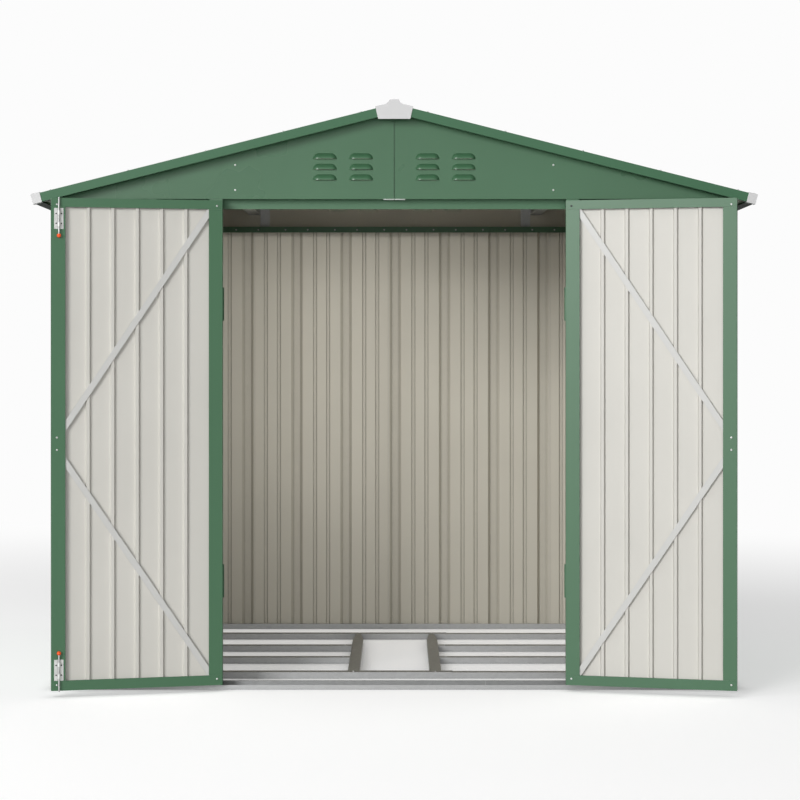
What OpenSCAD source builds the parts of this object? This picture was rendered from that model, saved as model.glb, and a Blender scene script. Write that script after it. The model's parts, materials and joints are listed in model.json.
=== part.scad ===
// Metal storage shed with a pitched roof, louvred gables and two hinged doors.
// X runs across the front, Y from the front to the back, Z up from the ground.
// The doors are drawn swung open. The origin is on the ground, in the middle of the whole.

/* [Building] */
// Width over the outer faces of the base rails
wall_w = 2270; // [1900:10:2900]
// Depth over the outer faces of the base rails
wall_d = 1690; // [1300:10:2400]
// Height of the wall head, on top of the head rails
eave_z = 1626.4; // [1500:0.1:1900]
// Roof pitch in degrees
roof_pitch = 14.1; // [10:0.1:20]
// Reach of the roof past the side walls, out to the corner caps
eave_reach = 60; // [50:1:90]
// Reach of the roof past the gables, out to the verge trims
verge_reach = 60; // [50:1:90]
// Thickness of the coated cladding sheets
sheet_t = 0.8; // [0.6:0.1:1.2]
// Thickness of the rolled rails, posts and trims
frame_t = 1; // [0.8:0.1:1.4]

/* [Base and floor frame] */
// Width of the base rails
rail_w = 70; // [60:1:90]
// Height of the base rails' outer lip
rail_lip_h = 15; // [12:1:20]
// Height of the base rails' inner flange
rail_flange_h = 20.5; // [18:0.5:32]
// Width of the hem folded on the inner flange
rail_hem = 5; // [3:1:8]
// Place of the joint in the front and rear base rails, from the middle
rail_joint_x = 305; // [200:5:400]
// Width of the floor channels
floor_w = 40; // [30:1:50]
// Height of the floor channels
floor_h = 22; // [18:1:25]
// Front faces of the full-width floor channels, from the front
floor_rail_y = [250, 1290]; // [100:10:1600]
// Front faces of the short side joists, from the front
floor_joist_y = [615, 935]; // [300:5:1250]
// Distance of the front-to-back stringers from the middle
stringer_x = 141; // [110:1:180]
// Length of the tapered end of a stringer
stringer_taper = 170; // [80:5:220]
// Width of a stringer at its tapered tip
stringer_tip = 18; // [10:1:28]
// Length by which a joist's end lies in a notch of its stringer
joist_lap = 7; // [3:1:12]
// Length of the lap between the two lengths of a full-width floor channel
floor_lap = 210; // [100:10:260]
// Reach of such a channel's outer length past the right stringer
floor_lap_past = 39; // [20:1:80]

/* [Wall sheets] */
// Distance between the large ribs
rib_pitch = 200; // [180:5:240]
// Width of a large rib at its foot
rib_foot = 47; // [38:1:54]
// Width of a large rib at its top
rib_top = 25; // [16:1:32]
// Height of the large wall ribs
rib_h = 15; // [10:0.5:17]
// Distance of a small rib from the middle of a large one
small_rib_x = 73.5; // [60:0.5:80]
// Width of a small rib at its foot
small_rib_foot = 17; // [12:0.5:22]
// Width of a small rib at its top
small_rib_top = 9.5; // [6:0.5:11]
// Height of the small ribs
small_rib_h = 4.5; // [3:0.5:8]
// Large ribs from one side lap to the next
lap_ribs = 3; // [2:1:4]
// Width of a side lap
lap_w = 56; // [50:1:70]
// Width of the folded edge with which a wall sheet lies on a corner post
edge_fold = 46; // [40:1:60]

/* [Head rails and gables] */
// Width of the head rails' top flange
head_w = 46; // [40:1:55]
// Depth of the front head rail's inner web
head_drop = 32; // [20:1:35]
// Depth of the other head rails' inner web
side_head_drop = 23; // [15:1:30]
// Width of a corner post's leg
corner_leg = 40; // [30:1:55]
// Width of a louvre
louvre_w = 79; // [60:1:100]
// Height of a louvre
louvre_h = 19; // [14:1:24]
// Reach of a louvre's hood
louvre_out = 12; // [6:0.5:15]
// Distances of the louvre columns from the middle
louvre_x = [110, 230]; // [60:1:400]
// Height of the lowest louvre above the wall head
louvre_z = 71; // [50:1:90]
// Distance between the louvre rows
louvre_pitch = 35; // [28:1:45]
// Rows of louvres
louvre_rows = 3; // [1:1:3]
// Gap of the seam between the two halves of a gable
gable_seam = 2; // [1:0.1:3]
// Depth of the folds along that seam
gable_fold = 14; // [8:1:20]
// Width of the strip that closes the seam behind the folds
gable_strip_w = 26; // [16:1:50]

/* [Roof] */
// Height of the large roof ribs
roof_rib_h = 19; // [12:0.5:24]
// Height of the verge and eave trims, square to the roof
trim_h = 29.5; // [26:0.5:45]
// Width of the trims' flanges
trim_flange = 25; // [15:1:30]
// Side of a corner cap
cap_side = 30; // [28:1:50]
// Wall of the plastic caps
cap_t = 2; // [1.5:0.1:3]
// Width of a purlin
purlin_w = 46; // [30:1:60]
// Height of a purlin
purlin_h = 85; // [50:1:95]
// Distance of the purlins from the middle
purlin_x = 572; // [400:1:620]
// Width of a purlin bracket
bracket_w = 38; // [30:1:60]
// Thickness of a purlin bracket
bracket_t = 1.5; // [1:0.1:3]
// Half width of the ridge's crown
ridge_crown = 14.5; // [10:0.5:20]
// Half width of the ridge at its shoulders
ridge_shoulder = 35; // [26:0.5:42]
// Half width of the ridge at its wings
ridge_wing = 62; // [50:1:80]
// Rise of the crown above the shoulders
ridge_rise = 16.7; // [8:0.1:25]
// Height of the ridge end plate below the wings
ridge_end_h = 41; // [30:1:60]
// Half width of the ridge end plate at its foot
ridge_end_foot = 53; // [40:1:60]

/* [Doors] */
// Clear width between the door jambs
doorway_w = 1138; // [900:2:1300]
// Width of a jamb's flanges
jamb_w = 40; // [30:1:60]
// Depth of a jamb
jamb_d = 25; // [20:1:32]
// Angle to which the doors stand open
door_open = 166; // [90:1:170]
// Thickness of a door
door_t = 20; // [18:1:26]
// Gap between the two closed doors
door_split = 6; // [5:0.5:10]
// Gap between the doors and the base rail's lip
door_sill_gap = 5; // [5:0.5:10]
// Gap between the doors and the head rail
door_head_gap = 7.4; // [7.4:0.1:14]
// Width of a door's stiles
stile_w = 45; // [35:1:60]
// Height of a door's top rail
door_top_w = 29; // [22:1:45]
// Height of a door's bottom rail
door_bottom_w = 33; // [22:1:45]
// Distance between a door panel's ribs
door_rib_pitch = 80; // [70:1:95]
// Width of a door rib at its foot
door_rib_foot = 17; // [12:1:24]
// Width of a door rib at its top
door_rib_top = 9; // [6:1:12]
// Height of a door rib
door_rib_h = 10; // [6:0.5:11]
// Ribs on a door panel
door_ribs = 5; // [3:2:5]
// Width of a door brace
brace_w = 20; // [12:1:28]
// Thickness of a door brace
brace_t = 3; // [2:0.1:3.5]
// Half the distance between the two braces at the free stile
brace_apart = 58; // [30:1:90]
// Distance of a brace's middle line from the frame's inner corner, down the hinge stile
brace_corner = 11.5; // [0:0.5:30]
// Length by which a brace runs on behind the frame's flanges
brace_tuck = 12; // [5:1:16]

/* [Hinges] */
// Radius of a hinge knuckle
knuckle_r = 5; // [4:0.1:6]
// Radius of a hinge pin
pin_r = 2; // [1.5:0.1:2.5]
// Height of a hinge
hinge_h = 110; // [80:1:140]
// Width of a hinge leaf
hinge_leaf = 36; // [25:1:40]
// Thickness of a hinge leaf
hinge_t = 1.5; // [1:0.1:2]
// Distance of the hinges from the door's top and bottom edges
hinge_inset = 341; // [150:1:500]

/* [Bolts and handle] */
// Radius of a bolt rod
bolt_r = 3; // [2.5:0.1:4]
// Distance of a bolt rod from the door's inner face
bolt_off = 8; // [7:0.1:10]
// Distance of a bolt rod from the door's free edge
bolt_edge = 24; // [18:1:30]
// Reach of a drawn bolt past the door's edge
bolt_tip = 1.5; // [0:0.1:2]
// Length of a bolt rod
bolt_len = 118; // [110:1:160]
// Width of a bolt's guide plate
guide_w = 30; // [20:1:34]
// Height of a bolt's guide plate
guide_h = 68; // [50:1:80]
// Distance of a guide plate from the door's edge
guide_inset = 33; // [25:1:60]
// Thickness of a guide plate
guide_t = 1.5; // [1:0.1:2]
// Radius of a bolt's knob
knob_r = 7; // [5:0.5:10]
// Length over the pair of strike plates
strike_w = 72; // [66:1:120]
// Thickness of the strike plates
strike_t = 2; // [1:0.1:2]
// Gap between the strike plates
strike_split = 2; // [1:0.5:6]
// Metal left behind a strike plate's hole
strike_edge = 7; // [4:0.5:9]
// Height of the handle's middle above the ground
handle_z = 963; // [700:1:1200]
// Length of the handle
handle_len = 130; // [90:1:200]
// Reach of the handle from the door
handle_out = 28; // [22:1:40]
// Radius of the handle's grip
handle_r = 6; // [5:0.5:8]

/* [Hidden] */
$fn = 48;

green = "#5f8067";
cream = "#cbc9c2";
zinc = "#b8bab8";
pale = "#d9d9d9";
orange = "#ff5a2a";
steel = "#c9cac8";
dark = "#2f3230";

// Small gap between pieces that are seated on each other
seat = 0.3;
// Running gap of a pin or rod in its hole
running = 0.08;
// Tiny length by which a cut runs past a face
past = 1;

half_w = wall_w / 2;
// The rails' lips come first, then posts and jambs, then the sheets
post_y = frame_t;
skin_y = post_y + frame_t;
lap_step = sheet_t + seat;
skin_stack = sheet_t + lap_step;
post_top = eave_z - frame_t - seat;

// Roof: the underside of the sheets passes just over the wall line
roof_z = eave_z + seat + half_w * tan(roof_pitch);
trim_clear = 0.2;
trim_top = lap_step + roof_rib_h + sheet_t + trim_clear + frame_t;
trim_bottom = trim_top - trim_h;
cap_top = trim_top + seat + cap_t;
cap_bottom = trim_bottom - seat - cap_t;
eave_s = (half_w + eave_reach - cap_top * sin(roof_pitch)) / cos(roof_pitch) - seat - cap_t;
sheet_end_gap = 3;
ridge_half_gap = 2;
ridge_plate_t = cap_t + 1;
// Top line of the ridge: its wings clear the verge trims, and its crown stands above them
ridge_clear = 3;
ridge_wing_z = roof_z + (trim_top + frame_t + cap_t + ridge_clear) / cos(roof_pitch)
    - ridge_wing * tan(roof_pitch);
ridge_shoulder_z = ridge_wing_z + (ridge_wing - ridge_shoulder) * tan(roof_pitch);
ridge_crown_z = ridge_shoulder_z + ridge_rise;
ridge_lip_z = roof_z + (trim_top - frame_t) / cos(roof_pitch) - ridge_wing * tan(roof_pitch) + seat;

// Doors, in their own closed frame: U from the hinge axis to the free edge, V inwards
jamb_gap = 1;
leaf_u = 5;
hinge_x = doorway_w / 2 - jamb_gap;
leaf_w = hinge_x - leaf_u - door_split / 2;
leaf_v = knuckle_r;
leaf_in = leaf_v + door_t;
leaf_z0 = rail_lip_h + door_sill_gap;
leaf_z1 = eave_z - frame_t - door_head_gap;
leaf_mid = (leaf_z0 + leaf_z1) / 2;
panel_v = leaf_v + frame_t + seat;
free_u = leaf_u + leaf_w;
brace_v = panel_v + sheet_t + door_rib_h + seat;
bolt_u = free_u - bolt_edge;
bolt_v = leaf_in + bolt_off;
bolt_hole_gap = 1.5;
bolt_hole_r = bolt_r + bolt_hole_gap;
hinge_zs = [leaf_z0 + hinge_inset, leaf_z1 - hinge_inset];
knuckle_gap = 0.5;
knuckle_h = (hinge_h - 2 * knuckle_gap) / 3;

// Reach of the open doors in front of the wall, and the place of the front that centres the whole
door_reach = knuckle_r + free_u * sin(180 - door_open) + leaf_in * -cos(door_open);
rear_reach = verge_reach + seat + ridge_plate_t;
front_y = (door_reach - wall_d - rear_reach) / 2;

// Frames in which the pieces are drawn
module shed_frame() translate([0, front_y, 0]) children();
module rear_side() translate([0, wall_d, 0]) mirror([0, 1, 0]) children();
module other_side() mirror([1, 0, 0]) children();
module both_sides() {
    children();
    other_side() children();
}
module front_and_rear() {
    children();
    rear_side() children();
}
module right_slope() translate([0, 0, roof_z]) rotate([0, roof_pitch, 0]) children();
module left_leaf() shed_frame() translate([-hinge_x, -knuckle_r, 0]) rotate([0, 0, -door_open]) children();
module right_leaf() mirror([1, 0, 0]) left_leaf() children();

// A (Y, Z) outline drawn out along X from x0 to x1
module along_x(x0, x1) translate([x0, 0, 0]) rotate([90, 0, 90]) linear_extrude(x1 - x0) children();
// An (X, Z) outline drawn out along Y from y0 to y1
module along_y(y0, y1) translate([0, y1, 0]) rotate([90, 0, 0]) linear_extrude(y1 - y0) children();
// A box from corner to corner
module block(a, b) translate(a) cube(b - a);

// Height of the ribbed sheet at a place along it, for ribs of the given height
function rib_shape(h) = [
    [0, h],
    [rib_top / 2, h],
    [rib_foot / 2, 0],
    [small_rib_x - small_rib_foot / 2, 0],
    [small_rib_x - small_rib_top / 2, small_rib_h],
    [small_rib_x + small_rib_top / 2, small_rib_h],
    [small_rib_x + small_rib_foot / 2, 0],
    [rib_pitch / 2, 0]
];
function sheet_height(x, h) = lookup(abs(x - rib_pitch * round(x / rib_pitch)), rib_shape(h));
// Bend lines of the ribbed sheet between two places, in order, with none right at an end
bend_clear = 0.5;
half_bends = [for (i = [1 : len(rib_shape(0)) - 2]) rib_shape(0)[i][0]];
bends = concat([for (i = [len(half_bends) - 1 : -1 : 0]) -half_bends[i]], half_bends);
function sheet_bends(x0, x1) = [
    for (k = [floor(x0 / rib_pitch) - 1 : ceil(x1 / rib_pitch) + 1])
        for (b = bends)
            let (x = k * rib_pitch + b) if (x > x0 + bend_clear && x < x1 - bend_clear) x
];
// Line of one sheet as it lies across the ribs; a folded edge is level with the rib tops
fold_run = (rib_foot - rib_top) / 2;
function fold_reach(fold) = fold > 0 ? fold + fold_run : 0;
function sheet_line(x0, x1, h, fold0, fold1) = let (
    a = x0 + fold_reach(fold0),
    b = x1 - fold_reach(fold1)
) concat(
    fold0 > 0 ? [[x0, h], [x0 + fold0, h]] : [],
    [for (x = concat([a], sheet_bends(a, b), [b])) [x, sheet_height(x, h)]],
    fold1 > 0 ? [[x1 - fold1, h], [x1, h]] : []
);
module sheet_outline(x0, x1, h, fold0 = 0, fold1 = 0) {
    line = sheet_line(x0, x1, h, fold0, fold1);
    polygon(concat([for (p = line) p + [0, sheet_t]], reversed(line)));
}
// Side laps between two ends, at whole multiples of the lap spacing from a first one
lap_pitch = lap_ribs * rib_pitch;
lap_clear = fold_reach(edge_fold) + lap_w;
function laps(x0, x1, first) = [
    for (k = [floor((x0 - first) / lap_pitch) : ceil((x1 - first) / lap_pitch)])
        let (x = first + k * lap_pitch) if (x > x0 + lap_clear && x < x1 - lap_clear) x
];
// Outlines of a row of lapped sheets: every second sheet lies over its neighbours
module lapped_outline(x0, x1, h, first, fold = 0) {
    cuts = laps(x0, x1, first);
    for (i = [0 : len(cuts)]) {
        a = i == 0 ? x0 : cuts[i - 1] - lap_w / 2;
        b = i == len(cuts) ? x1 : cuts[i] + lap_w / 2;
        translate([0, (i % 2) * lap_step])
            sheet_outline(a, b, h, i == 0 ? fold : 0, i == len(cuts) ? fold : 0);
    }
}

// Base rails: an upright channel with a low outer lip and a hemmed inner flange
module base_rail_outline() {
    polygon([
        [0, 0], [rail_w, 0], [rail_w, rail_flange_h], [rail_w - rail_hem, rail_flange_h],
        [rail_w - rail_hem, rail_flange_h - frame_t], [rail_w - frame_t, rail_flange_h - frame_t],
        [rail_w - frame_t, frame_t], [frame_t, frame_t], [frame_t, rail_lip_h], [0, rail_lip_h]
    ]);
}
// The inner flange stops at the corners, where the side rails' own flanges begin
module rail_corner_notch() {
    block(
        [half_w - rail_w, rail_w - rail_hem - past, frame_t],
        [half_w + past, rail_w + past, rail_flange_h + past]
    );
}
module long_base_rail() {
    difference() {
        union() {
            along_x(-half_w, rail_joint_x - seat / 2) base_rail_outline();
            along_x(rail_joint_x + seat / 2, half_w) base_rail_outline();
        }
        both_sides() rail_corner_notch();
    }
}
module side_base_rail() {
    along_y(rail_w + seat, wall_d - rail_w - seat) translate([half_w, 0]) mirror([1, 0]) base_rail_outline();
}
module base_rail_front() { color(zinc) shed_frame() long_base_rail(); }
module base_rail_rear() { color(zinc) shed_frame() rear_side() long_base_rail(); }
module base_rail_right() { color(zinc) shed_frame() side_base_rail(); }
module base_rail_left() { color(zinc) shed_frame() other_side() side_base_rail(); }

// Floor frame: inverted channels that lie on the ground between the base rails
module floor_outline(inset = 0) {
    w = floor_w - 2 * inset;
    h = floor_h - inset;
    translate([inset, 0]) difference() {
        square([w, h]);
        translate([frame_t, -past]) square([w - 2 * frame_t, h - frame_t + past]);
    }
}
floor_end_x = half_w - rail_w - seat;
// The full-width channels are in two lengths: the right one is slimmer and slides into the left one
floor_nest = frame_t + seat;
floor_lap_end = stringer_x + floor_w / 2 + floor_lap_past;
module floor_rails() {
    color(zinc) shed_frame() for (y = floor_rail_y) translate([0, y, 0]) {
        along_x(-floor_end_x, floor_lap_end) floor_outline();
        along_x(floor_lap_end - floor_lap, floor_end_x) floor_outline(floor_nest);
    }
}
stringer_y0 = floor_rail_y[0] + floor_w + seat;
stringer_y1 = floor_rail_y[1] - seat;
module stringer_plan(w, tip) {
    polygon([
        [-w / 2, stringer_y0], [w / 2, stringer_y0], [w / 2, stringer_y1 - stringer_taper],
        [tip / 2, stringer_y1], [-tip / 2, stringer_y1], [-w / 2, stringer_y1 - stringer_taper]
    ]);
}
module stringer() {
    difference() {
        linear_extrude(floor_h) stringer_plan(floor_w, stringer_tip);
        translate([0, 0, -past])
            linear_extrude(floor_h - frame_t + past) inner_plan() stringer_plan(floor_w, stringer_tip);
    }
}
// The hollow of a stringer: its plan less the sheet on each side, open at both ends
module inner_plan() {
    intersection() {
        translate([frame_t, 0]) children();
        translate([-frame_t, 0]) children();
    }
}
joist_x0 = stringer_x + floor_w / 2 - joist_lap;
module joist_notches() {
    for (y = floor_joist_y) block(
        [joist_x0 - seat, y - seat, -past],
        [joist_x0 + floor_w, y + floor_w + seat, floor_h + past]
    );
}
module floor_stringers() {
    color(zinc) shed_frame() both_sides() difference() {
        translate([stringer_x, 0, 0]) stringer();
        joist_notches();
    }
}
module floor_joists() {
    color(zinc) shed_frame() both_sides()
        for (y = floor_joist_y) translate([0, y, 0]) along_x(joist_x0, floor_end_x) floor_outline();
}

// Walls: ribbed sheets that stand in the base rails, with the ribs turned outwards
sheet_z0 = frame_t;
sheet_z1 = post_top;
corner_x = half_w - skin_y - skin_stack - seat;
module upright() translate([0, 0, sheet_z0]) linear_extrude(sheet_z1 - sheet_z0) children();
// Turns a sheet's outline over, so that its ribs point at the line from which it is drawn
module ribs_outwards(stack) translate([0, stack]) mirror([0, 1]) children();
module wall_row(x0, x1, first) {
    ribs_outwards(lap_step + rib_h + sheet_t) lapped_outline(x0, x1, rib_h, first, edge_fold);
}
module rear_wall() upright() translate([0, skin_y]) wall_row(-corner_x, corner_x, 0);
module side_wall() {
    run = wall_d / 2 - skin_y;
    shift = rib_pitch / 2;
    upright() translate([half_w - skin_y, wall_d / 2 - shift]) rotate(90)
        wall_row(shift - run, shift + run, shift - lap_pitch / 2);
}
module wall_rear() { color(cream) shed_frame() rear_side() rear_wall(); }
module wall_right() { color(cream) shed_frame() side_wall(); }
module wall_left() { color(cream) shed_frame() other_side() side_wall(); }
panel_edge_gap = 2;
panel_x = doorway_w / 2 + frame_t + panel_edge_gap;
module front_panel() {
    upright() translate([0, skin_y])
        ribs_outwards(rib_h + sheet_t) sheet_outline(panel_x, corner_x, rib_h, 0, edge_fold);
}
module front_panel_right() { color(cream) shed_frame() front_panel(); }
module front_panel_left() { color(cream) shed_frame() other_side() front_panel(); }

// Jambs: channels that hold the edge of a front panel and carry the hinges
module door_jamb() {
    upright() translate([doorway_w / 2, post_y]) difference() {
        square([jamb_w, jamb_d]);
        translate([frame_t, frame_t]) square([jamb_w, jamb_d - 2 * frame_t]);
    }
}
module door_jamb_right() { color(green) shed_frame() door_jamb(); }
module door_jamb_left() { color(green) shed_frame() other_side() door_jamb(); }

// Corner posts: angles that cover the ends of two walls
module corner_post() {
    upright() translate([half_w - post_y, post_y]) mirror([1, 0]) difference() {
        square(corner_leg);
        translate([frame_t, frame_t]) square(corner_leg);
    }
}
module corner_posts() { color(green) shed_frame() front_and_rear() both_sides() corner_post(); }

// Head rails: inverted angles along the wall heads
module head_outline(drop) {
    polygon([
        [0, eave_z], [head_w, eave_z], [head_w, eave_z - drop], [head_w - frame_t, eave_z - drop],
        [head_w - frame_t, eave_z - frame_t], [0, eave_z - frame_t]
    ]);
}
bolt_x = bolt_u - hinge_x;
bolt_y = bolt_v - knuckle_r;
module bolt_hole() {
    translate([bolt_x, bolt_y, eave_z - head_drop]) cylinder(r = bolt_hole_r, h = 2 * head_drop);
}
// The web stops short of the side walls, which pass behind its ends
module long_head_rail(drop) {
    difference() {
        along_x(-half_w, half_w) head_outline(drop);
        both_sides() block(
            [half_w - head_w, head_w - frame_t - past, eave_z - drop - past],
            [half_w + past, head_w + past, eave_z - frame_t]
        );
    }
}
module head_rail_front() {
    color(green) shed_frame() difference() {
        long_head_rail(head_drop);
        bolt_hole();
    }
}
module head_rail_rear() { color(green) shed_frame() rear_side() long_head_rail(side_head_drop); }
module side_head_rail() {
    along_y(head_w + seat, wall_d - head_w - seat)
        translate([half_w, 0]) mirror([1, 0]) head_outline(side_head_drop);
}
module head_rail_right() { color(green) shed_frame() side_head_rail(); }
module head_rail_left() { color(green) shed_frame() other_side() side_head_rail(); }
// Strike plates: one on each side of the middle seam, with a hole for a bolt
module strike_plate() {
    color(steel) shed_frame() both_sides() difference() {
        block(
            [-strike_w / 2, frame_t, eave_z - frame_t - strike_t],
            [-strike_split / 2, bolt_y + bolt_hole_r + strike_edge, eave_z - frame_t]
        );
        bolt_hole();
    }
}

// Gables: flat sheets in two halves, folded back along the middle seam, with rows of pressed louvres
gable_end_h = 2;
gable_end_x = half_w - gable_end_h / tan(roof_pitch);
// Height of the gable's sloping edge at a distance from the middle
function gable_top(x) = eave_z + (half_w - x) * tan(roof_pitch);
module gable_half_plate() {
    edge_x = gable_seam / 2;
    fold_x = edge_x + sheet_t;
    along_y(0, sheet_t) polygon([
        [edge_x, eave_z], [gable_end_x, eave_z],
        [gable_end_x, gable_top(gable_end_x)], [edge_x, gable_top(edge_x)]
    ]);
    along_y(0, gable_fold) polygon([
        [edge_x, eave_z], [fold_x, eave_z], [fold_x, gable_top(fold_x)], [edge_x, gable_top(edge_x)]
    ]);
}
// A strip across both folds closes the seam from behind
module gable_strip() {
    half = gable_strip_w / 2;
    face_y = gable_fold + seat;
    along_y(face_y, face_y + sheet_t) polygon([
        [-half, eave_z], [half, eave_z], [half, gable_top(half)], [0, gable_top(0)], [-half, gable_top(half)]
    ]);
}
// A louvre's form: a round bar with ball ends, set behind the sheet so that only its face stands out
louvre_r = (louvre_h * louvre_h + louvre_out * louvre_out) / (2 * louvre_out);
louvre_run = louvre_w - 2 * louvre_h;
module louvre_form(r) {
    translate([0, louvre_r - louvre_out, -louvre_h / 2]) {
        rotate([0, 90, 0]) cylinder(r = r, h = louvre_run, center = true);
        for (side = [-1, 1]) translate([side * louvre_run / 2, 0, 0]) sphere(r = r);
    }
}
// The part of a form above the louvre's mouth, as far back as the given face
module above_mouth(back) {
    intersection() {
        children();
        block([-louvre_w, -2 * louvre_out, -louvre_h / 2], [louvre_w, back, 2 * louvre_h]);
    }
}
module louvre_hood() {
    difference() {
        above_mouth(sheet_t / 2) louvre_form(louvre_r);
        louvre_form(louvre_r - sheet_t);
    }
}
module louvre_slot() above_mouth(sheet_t + past) louvre_form(louvre_r - sheet_t);
module at_louvres() {
    for (x = louvre_x)
        for (k = [0 : louvre_rows - 1])
            translate([x, 0, eave_z + louvre_z + k * louvre_pitch]) children();
}
module gable_half() {
    difference() {
        gable_half_plate();
        at_louvres() louvre_slot();
    }
    at_louvres() louvre_hood();
}
module gable() {
    both_sides() gable_half();
    gable_strip();
}
module gable_front() { color(green) shed_frame() gable(); }
module gable_rear() { color(green) shed_frame() rear_side() gable(); }

// Purlins: channels from gable to gable, hung on angle brackets
purlin_in_x = purlin_x - purlin_w / 2;
purlin_gap = 1;
purlin_top = roof_z - (purlin_x + purlin_w / 2) * tan(roof_pitch) - purlin_gap;
module purlins() {
    color(zinc) shed_frame() both_sides()
        along_y(sheet_t + bracket_t + seat, wall_d - sheet_t - bracket_t - seat)
            translate([purlin_in_x, purlin_top - purlin_h]) difference() {
                square([purlin_w, purlin_h]);
                translate([frame_t, frame_t]) square([purlin_w, purlin_h - 2 * frame_t]);
            }
}
bracket_reach = 35;
module purlin_bracket() {
    block([purlin_in_x - bracket_w, sheet_t, eave_z], [purlin_in_x, sheet_t + bracket_t, purlin_top]);
    block(
        [purlin_in_x - bracket_t, sheet_t, purlin_top - purlin_h],
        [purlin_in_x, sheet_t + bracket_reach, purlin_top]
    );
}
module purlin_brackets() { color(zinc) shed_frame() front_and_rear() both_sides() purlin_bracket(); }

// Roof: ribbed sheets that run from the ridge to the eave trims
verge_y = -verge_reach;
roof_side_gap = 1;
roof_run = wall_d / 2 + verge_reach - frame_t - roof_side_gap;
module roof_side() {
    right_slope() translate([0, wall_d / 2, 0])
        along_x(ridge_half_gap, eave_s - frame_t - sheet_end_gap)
            lapped_outline(-roof_run, roof_run, roof_rib_h, 0);
}
module roof_right() { color(green) shed_frame() roof_side(); }
module roof_left() { color(green) shed_frame() other_side() roof_side(); }

// Trims: channels that close the roof's edges
module trim_outline() {
    translate([0, trim_bottom]) difference() {
        square([trim_flange, trim_h]);
        translate([frame_t, frame_t]) square([trim_flange, trim_h - 2 * frame_t]);
    }
}
module verge_trim() {
    right_slope() translate([0, verge_y, 0]) along_x(trim_top * tan(roof_pitch) / 2, eave_s) trim_outline();
}
// The two halves are cut plumb where they meet under the ridge
module verge_pair() {
    both_sides() difference() {
        verge_trim();
        block(
            [-ridge_wing, verge_y - past, roof_z - ridge_wing],
            [seat / 2, verge_y + trim_flange + past, roof_z + ridge_wing]
        );
    }
}
module verge_trim_front() { color(green) shed_frame() verge_pair(); }
module verge_trim_rear() { color(green) shed_frame() rear_side() verge_pair(); }
module eave_trim() {
    end_y = verge_y + trim_flange + seat;
    right_slope() along_y(end_y, wall_d - end_y) translate([eave_s, 0]) mirror([1, 0]) trim_outline();
}
module eave_trim_right() { color(green) shed_frame() eave_trim(); }
module eave_trim_left() { color(green) shed_frame() other_side() eave_trim(); }
module corner_cap() {
    skin = seat + cap_t;
    right_slope() difference() {
        block(
            [eave_s + skin - cap_side, verge_y - skin, cap_bottom],
            [eave_s + skin, verge_y - skin + cap_side, cap_top]
        );
        block(
            [eave_s - cap_side, verge_y - seat, cap_bottom + cap_t],
            [eave_s + seat, verge_y + cap_side, cap_top - cap_t]
        );
    }
}
module corner_caps() { color(pale) shed_frame() front_and_rear() both_sides() corner_cap(); }

// Ridge: a bent strip with a raised crown, closed by a moulded plate at each end
ridge_neck_steps = 6;
// Angle of the quarter round at which the neck leaves the crown, in degrees
ridge_neck_start = 35;
// Share of the neck that is still to run, and that has fallen, at an angle of the quarter round
function neck_run(a) = cos(a) / cos(ridge_neck_start);
function neck_fall(a) = (sin(a) - sin(ridge_neck_start)) / (1 - sin(ridge_neck_start));
// Right half of the ridge's line at a depth below its top face, from the crown out to the wing's edge
function ridge_line(depth) = concat(
    [for (k = [0 : ridge_neck_steps])
        let (a = ridge_neck_start + (90 - ridge_neck_start) * k / ridge_neck_steps) [
            ridge_shoulder - (ridge_shoulder - ridge_crown) * neck_run(a),
            ridge_crown_z - depth - ridge_rise * neck_fall(a)
        ]],
    [[ridge_wing, ridge_wing_z - depth]]
);
function flipped(points) = [for (i = [len(points) - 1 : -1 : 0]) [-points[i][0], points[i][1]]];
function ridge_top(depth) = concat(flipped(ridge_line(depth)), ridge_line(depth));
function reversed(points) = [for (i = [len(points) - 1 : -1 : 0]) points[i]];
module ridge_strip_outline(depth, t) polygon(concat(ridge_top(depth), reversed(ridge_top(depth + t))));
strip_drop = cap_t + seat;
// Right half of the strip's outline: out along its top, round the turned-down edge and back underneath
function ridge_strip_half() = let (
    under = ridge_line(strip_drop + frame_t),
    fold_z = ridge_wing_z - strip_drop - frame_t * (1 - tan(roof_pitch))
) concat(
    ridge_line(strip_drop),
    [[ridge_wing, ridge_lip_z], [ridge_wing - frame_t, ridge_lip_z], [ridge_wing - frame_t, fold_z]],
    [for (i = [len(under) - 2 : -1 : 0]) under[i]]
);
module ridge_cap() {
    end_y = verge_y + trim_flange + seat;
    half = ridge_strip_half();
    color(green) shed_frame() along_y(end_y, wall_d - end_y) polygon(concat(half, flipped(half)));
}
ridge_end_lap = 15;
module ridge_end() {
    face_y = verge_y - seat;
    along_y(face_y - ridge_plate_t, face_y) polygon(concat(
        ridge_top(0),
        [[ridge_end_foot, ridge_wing_z - ridge_end_h], [-ridge_end_foot, ridge_wing_z - ridge_end_h]]
    ));
    along_y(face_y - past, verge_y + trim_flange + ridge_end_lap) ridge_strip_outline(0, cap_t);
}
module ridge_ends() { color(pale) shed_frame() front_and_rear() ridge_end(); }

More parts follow.
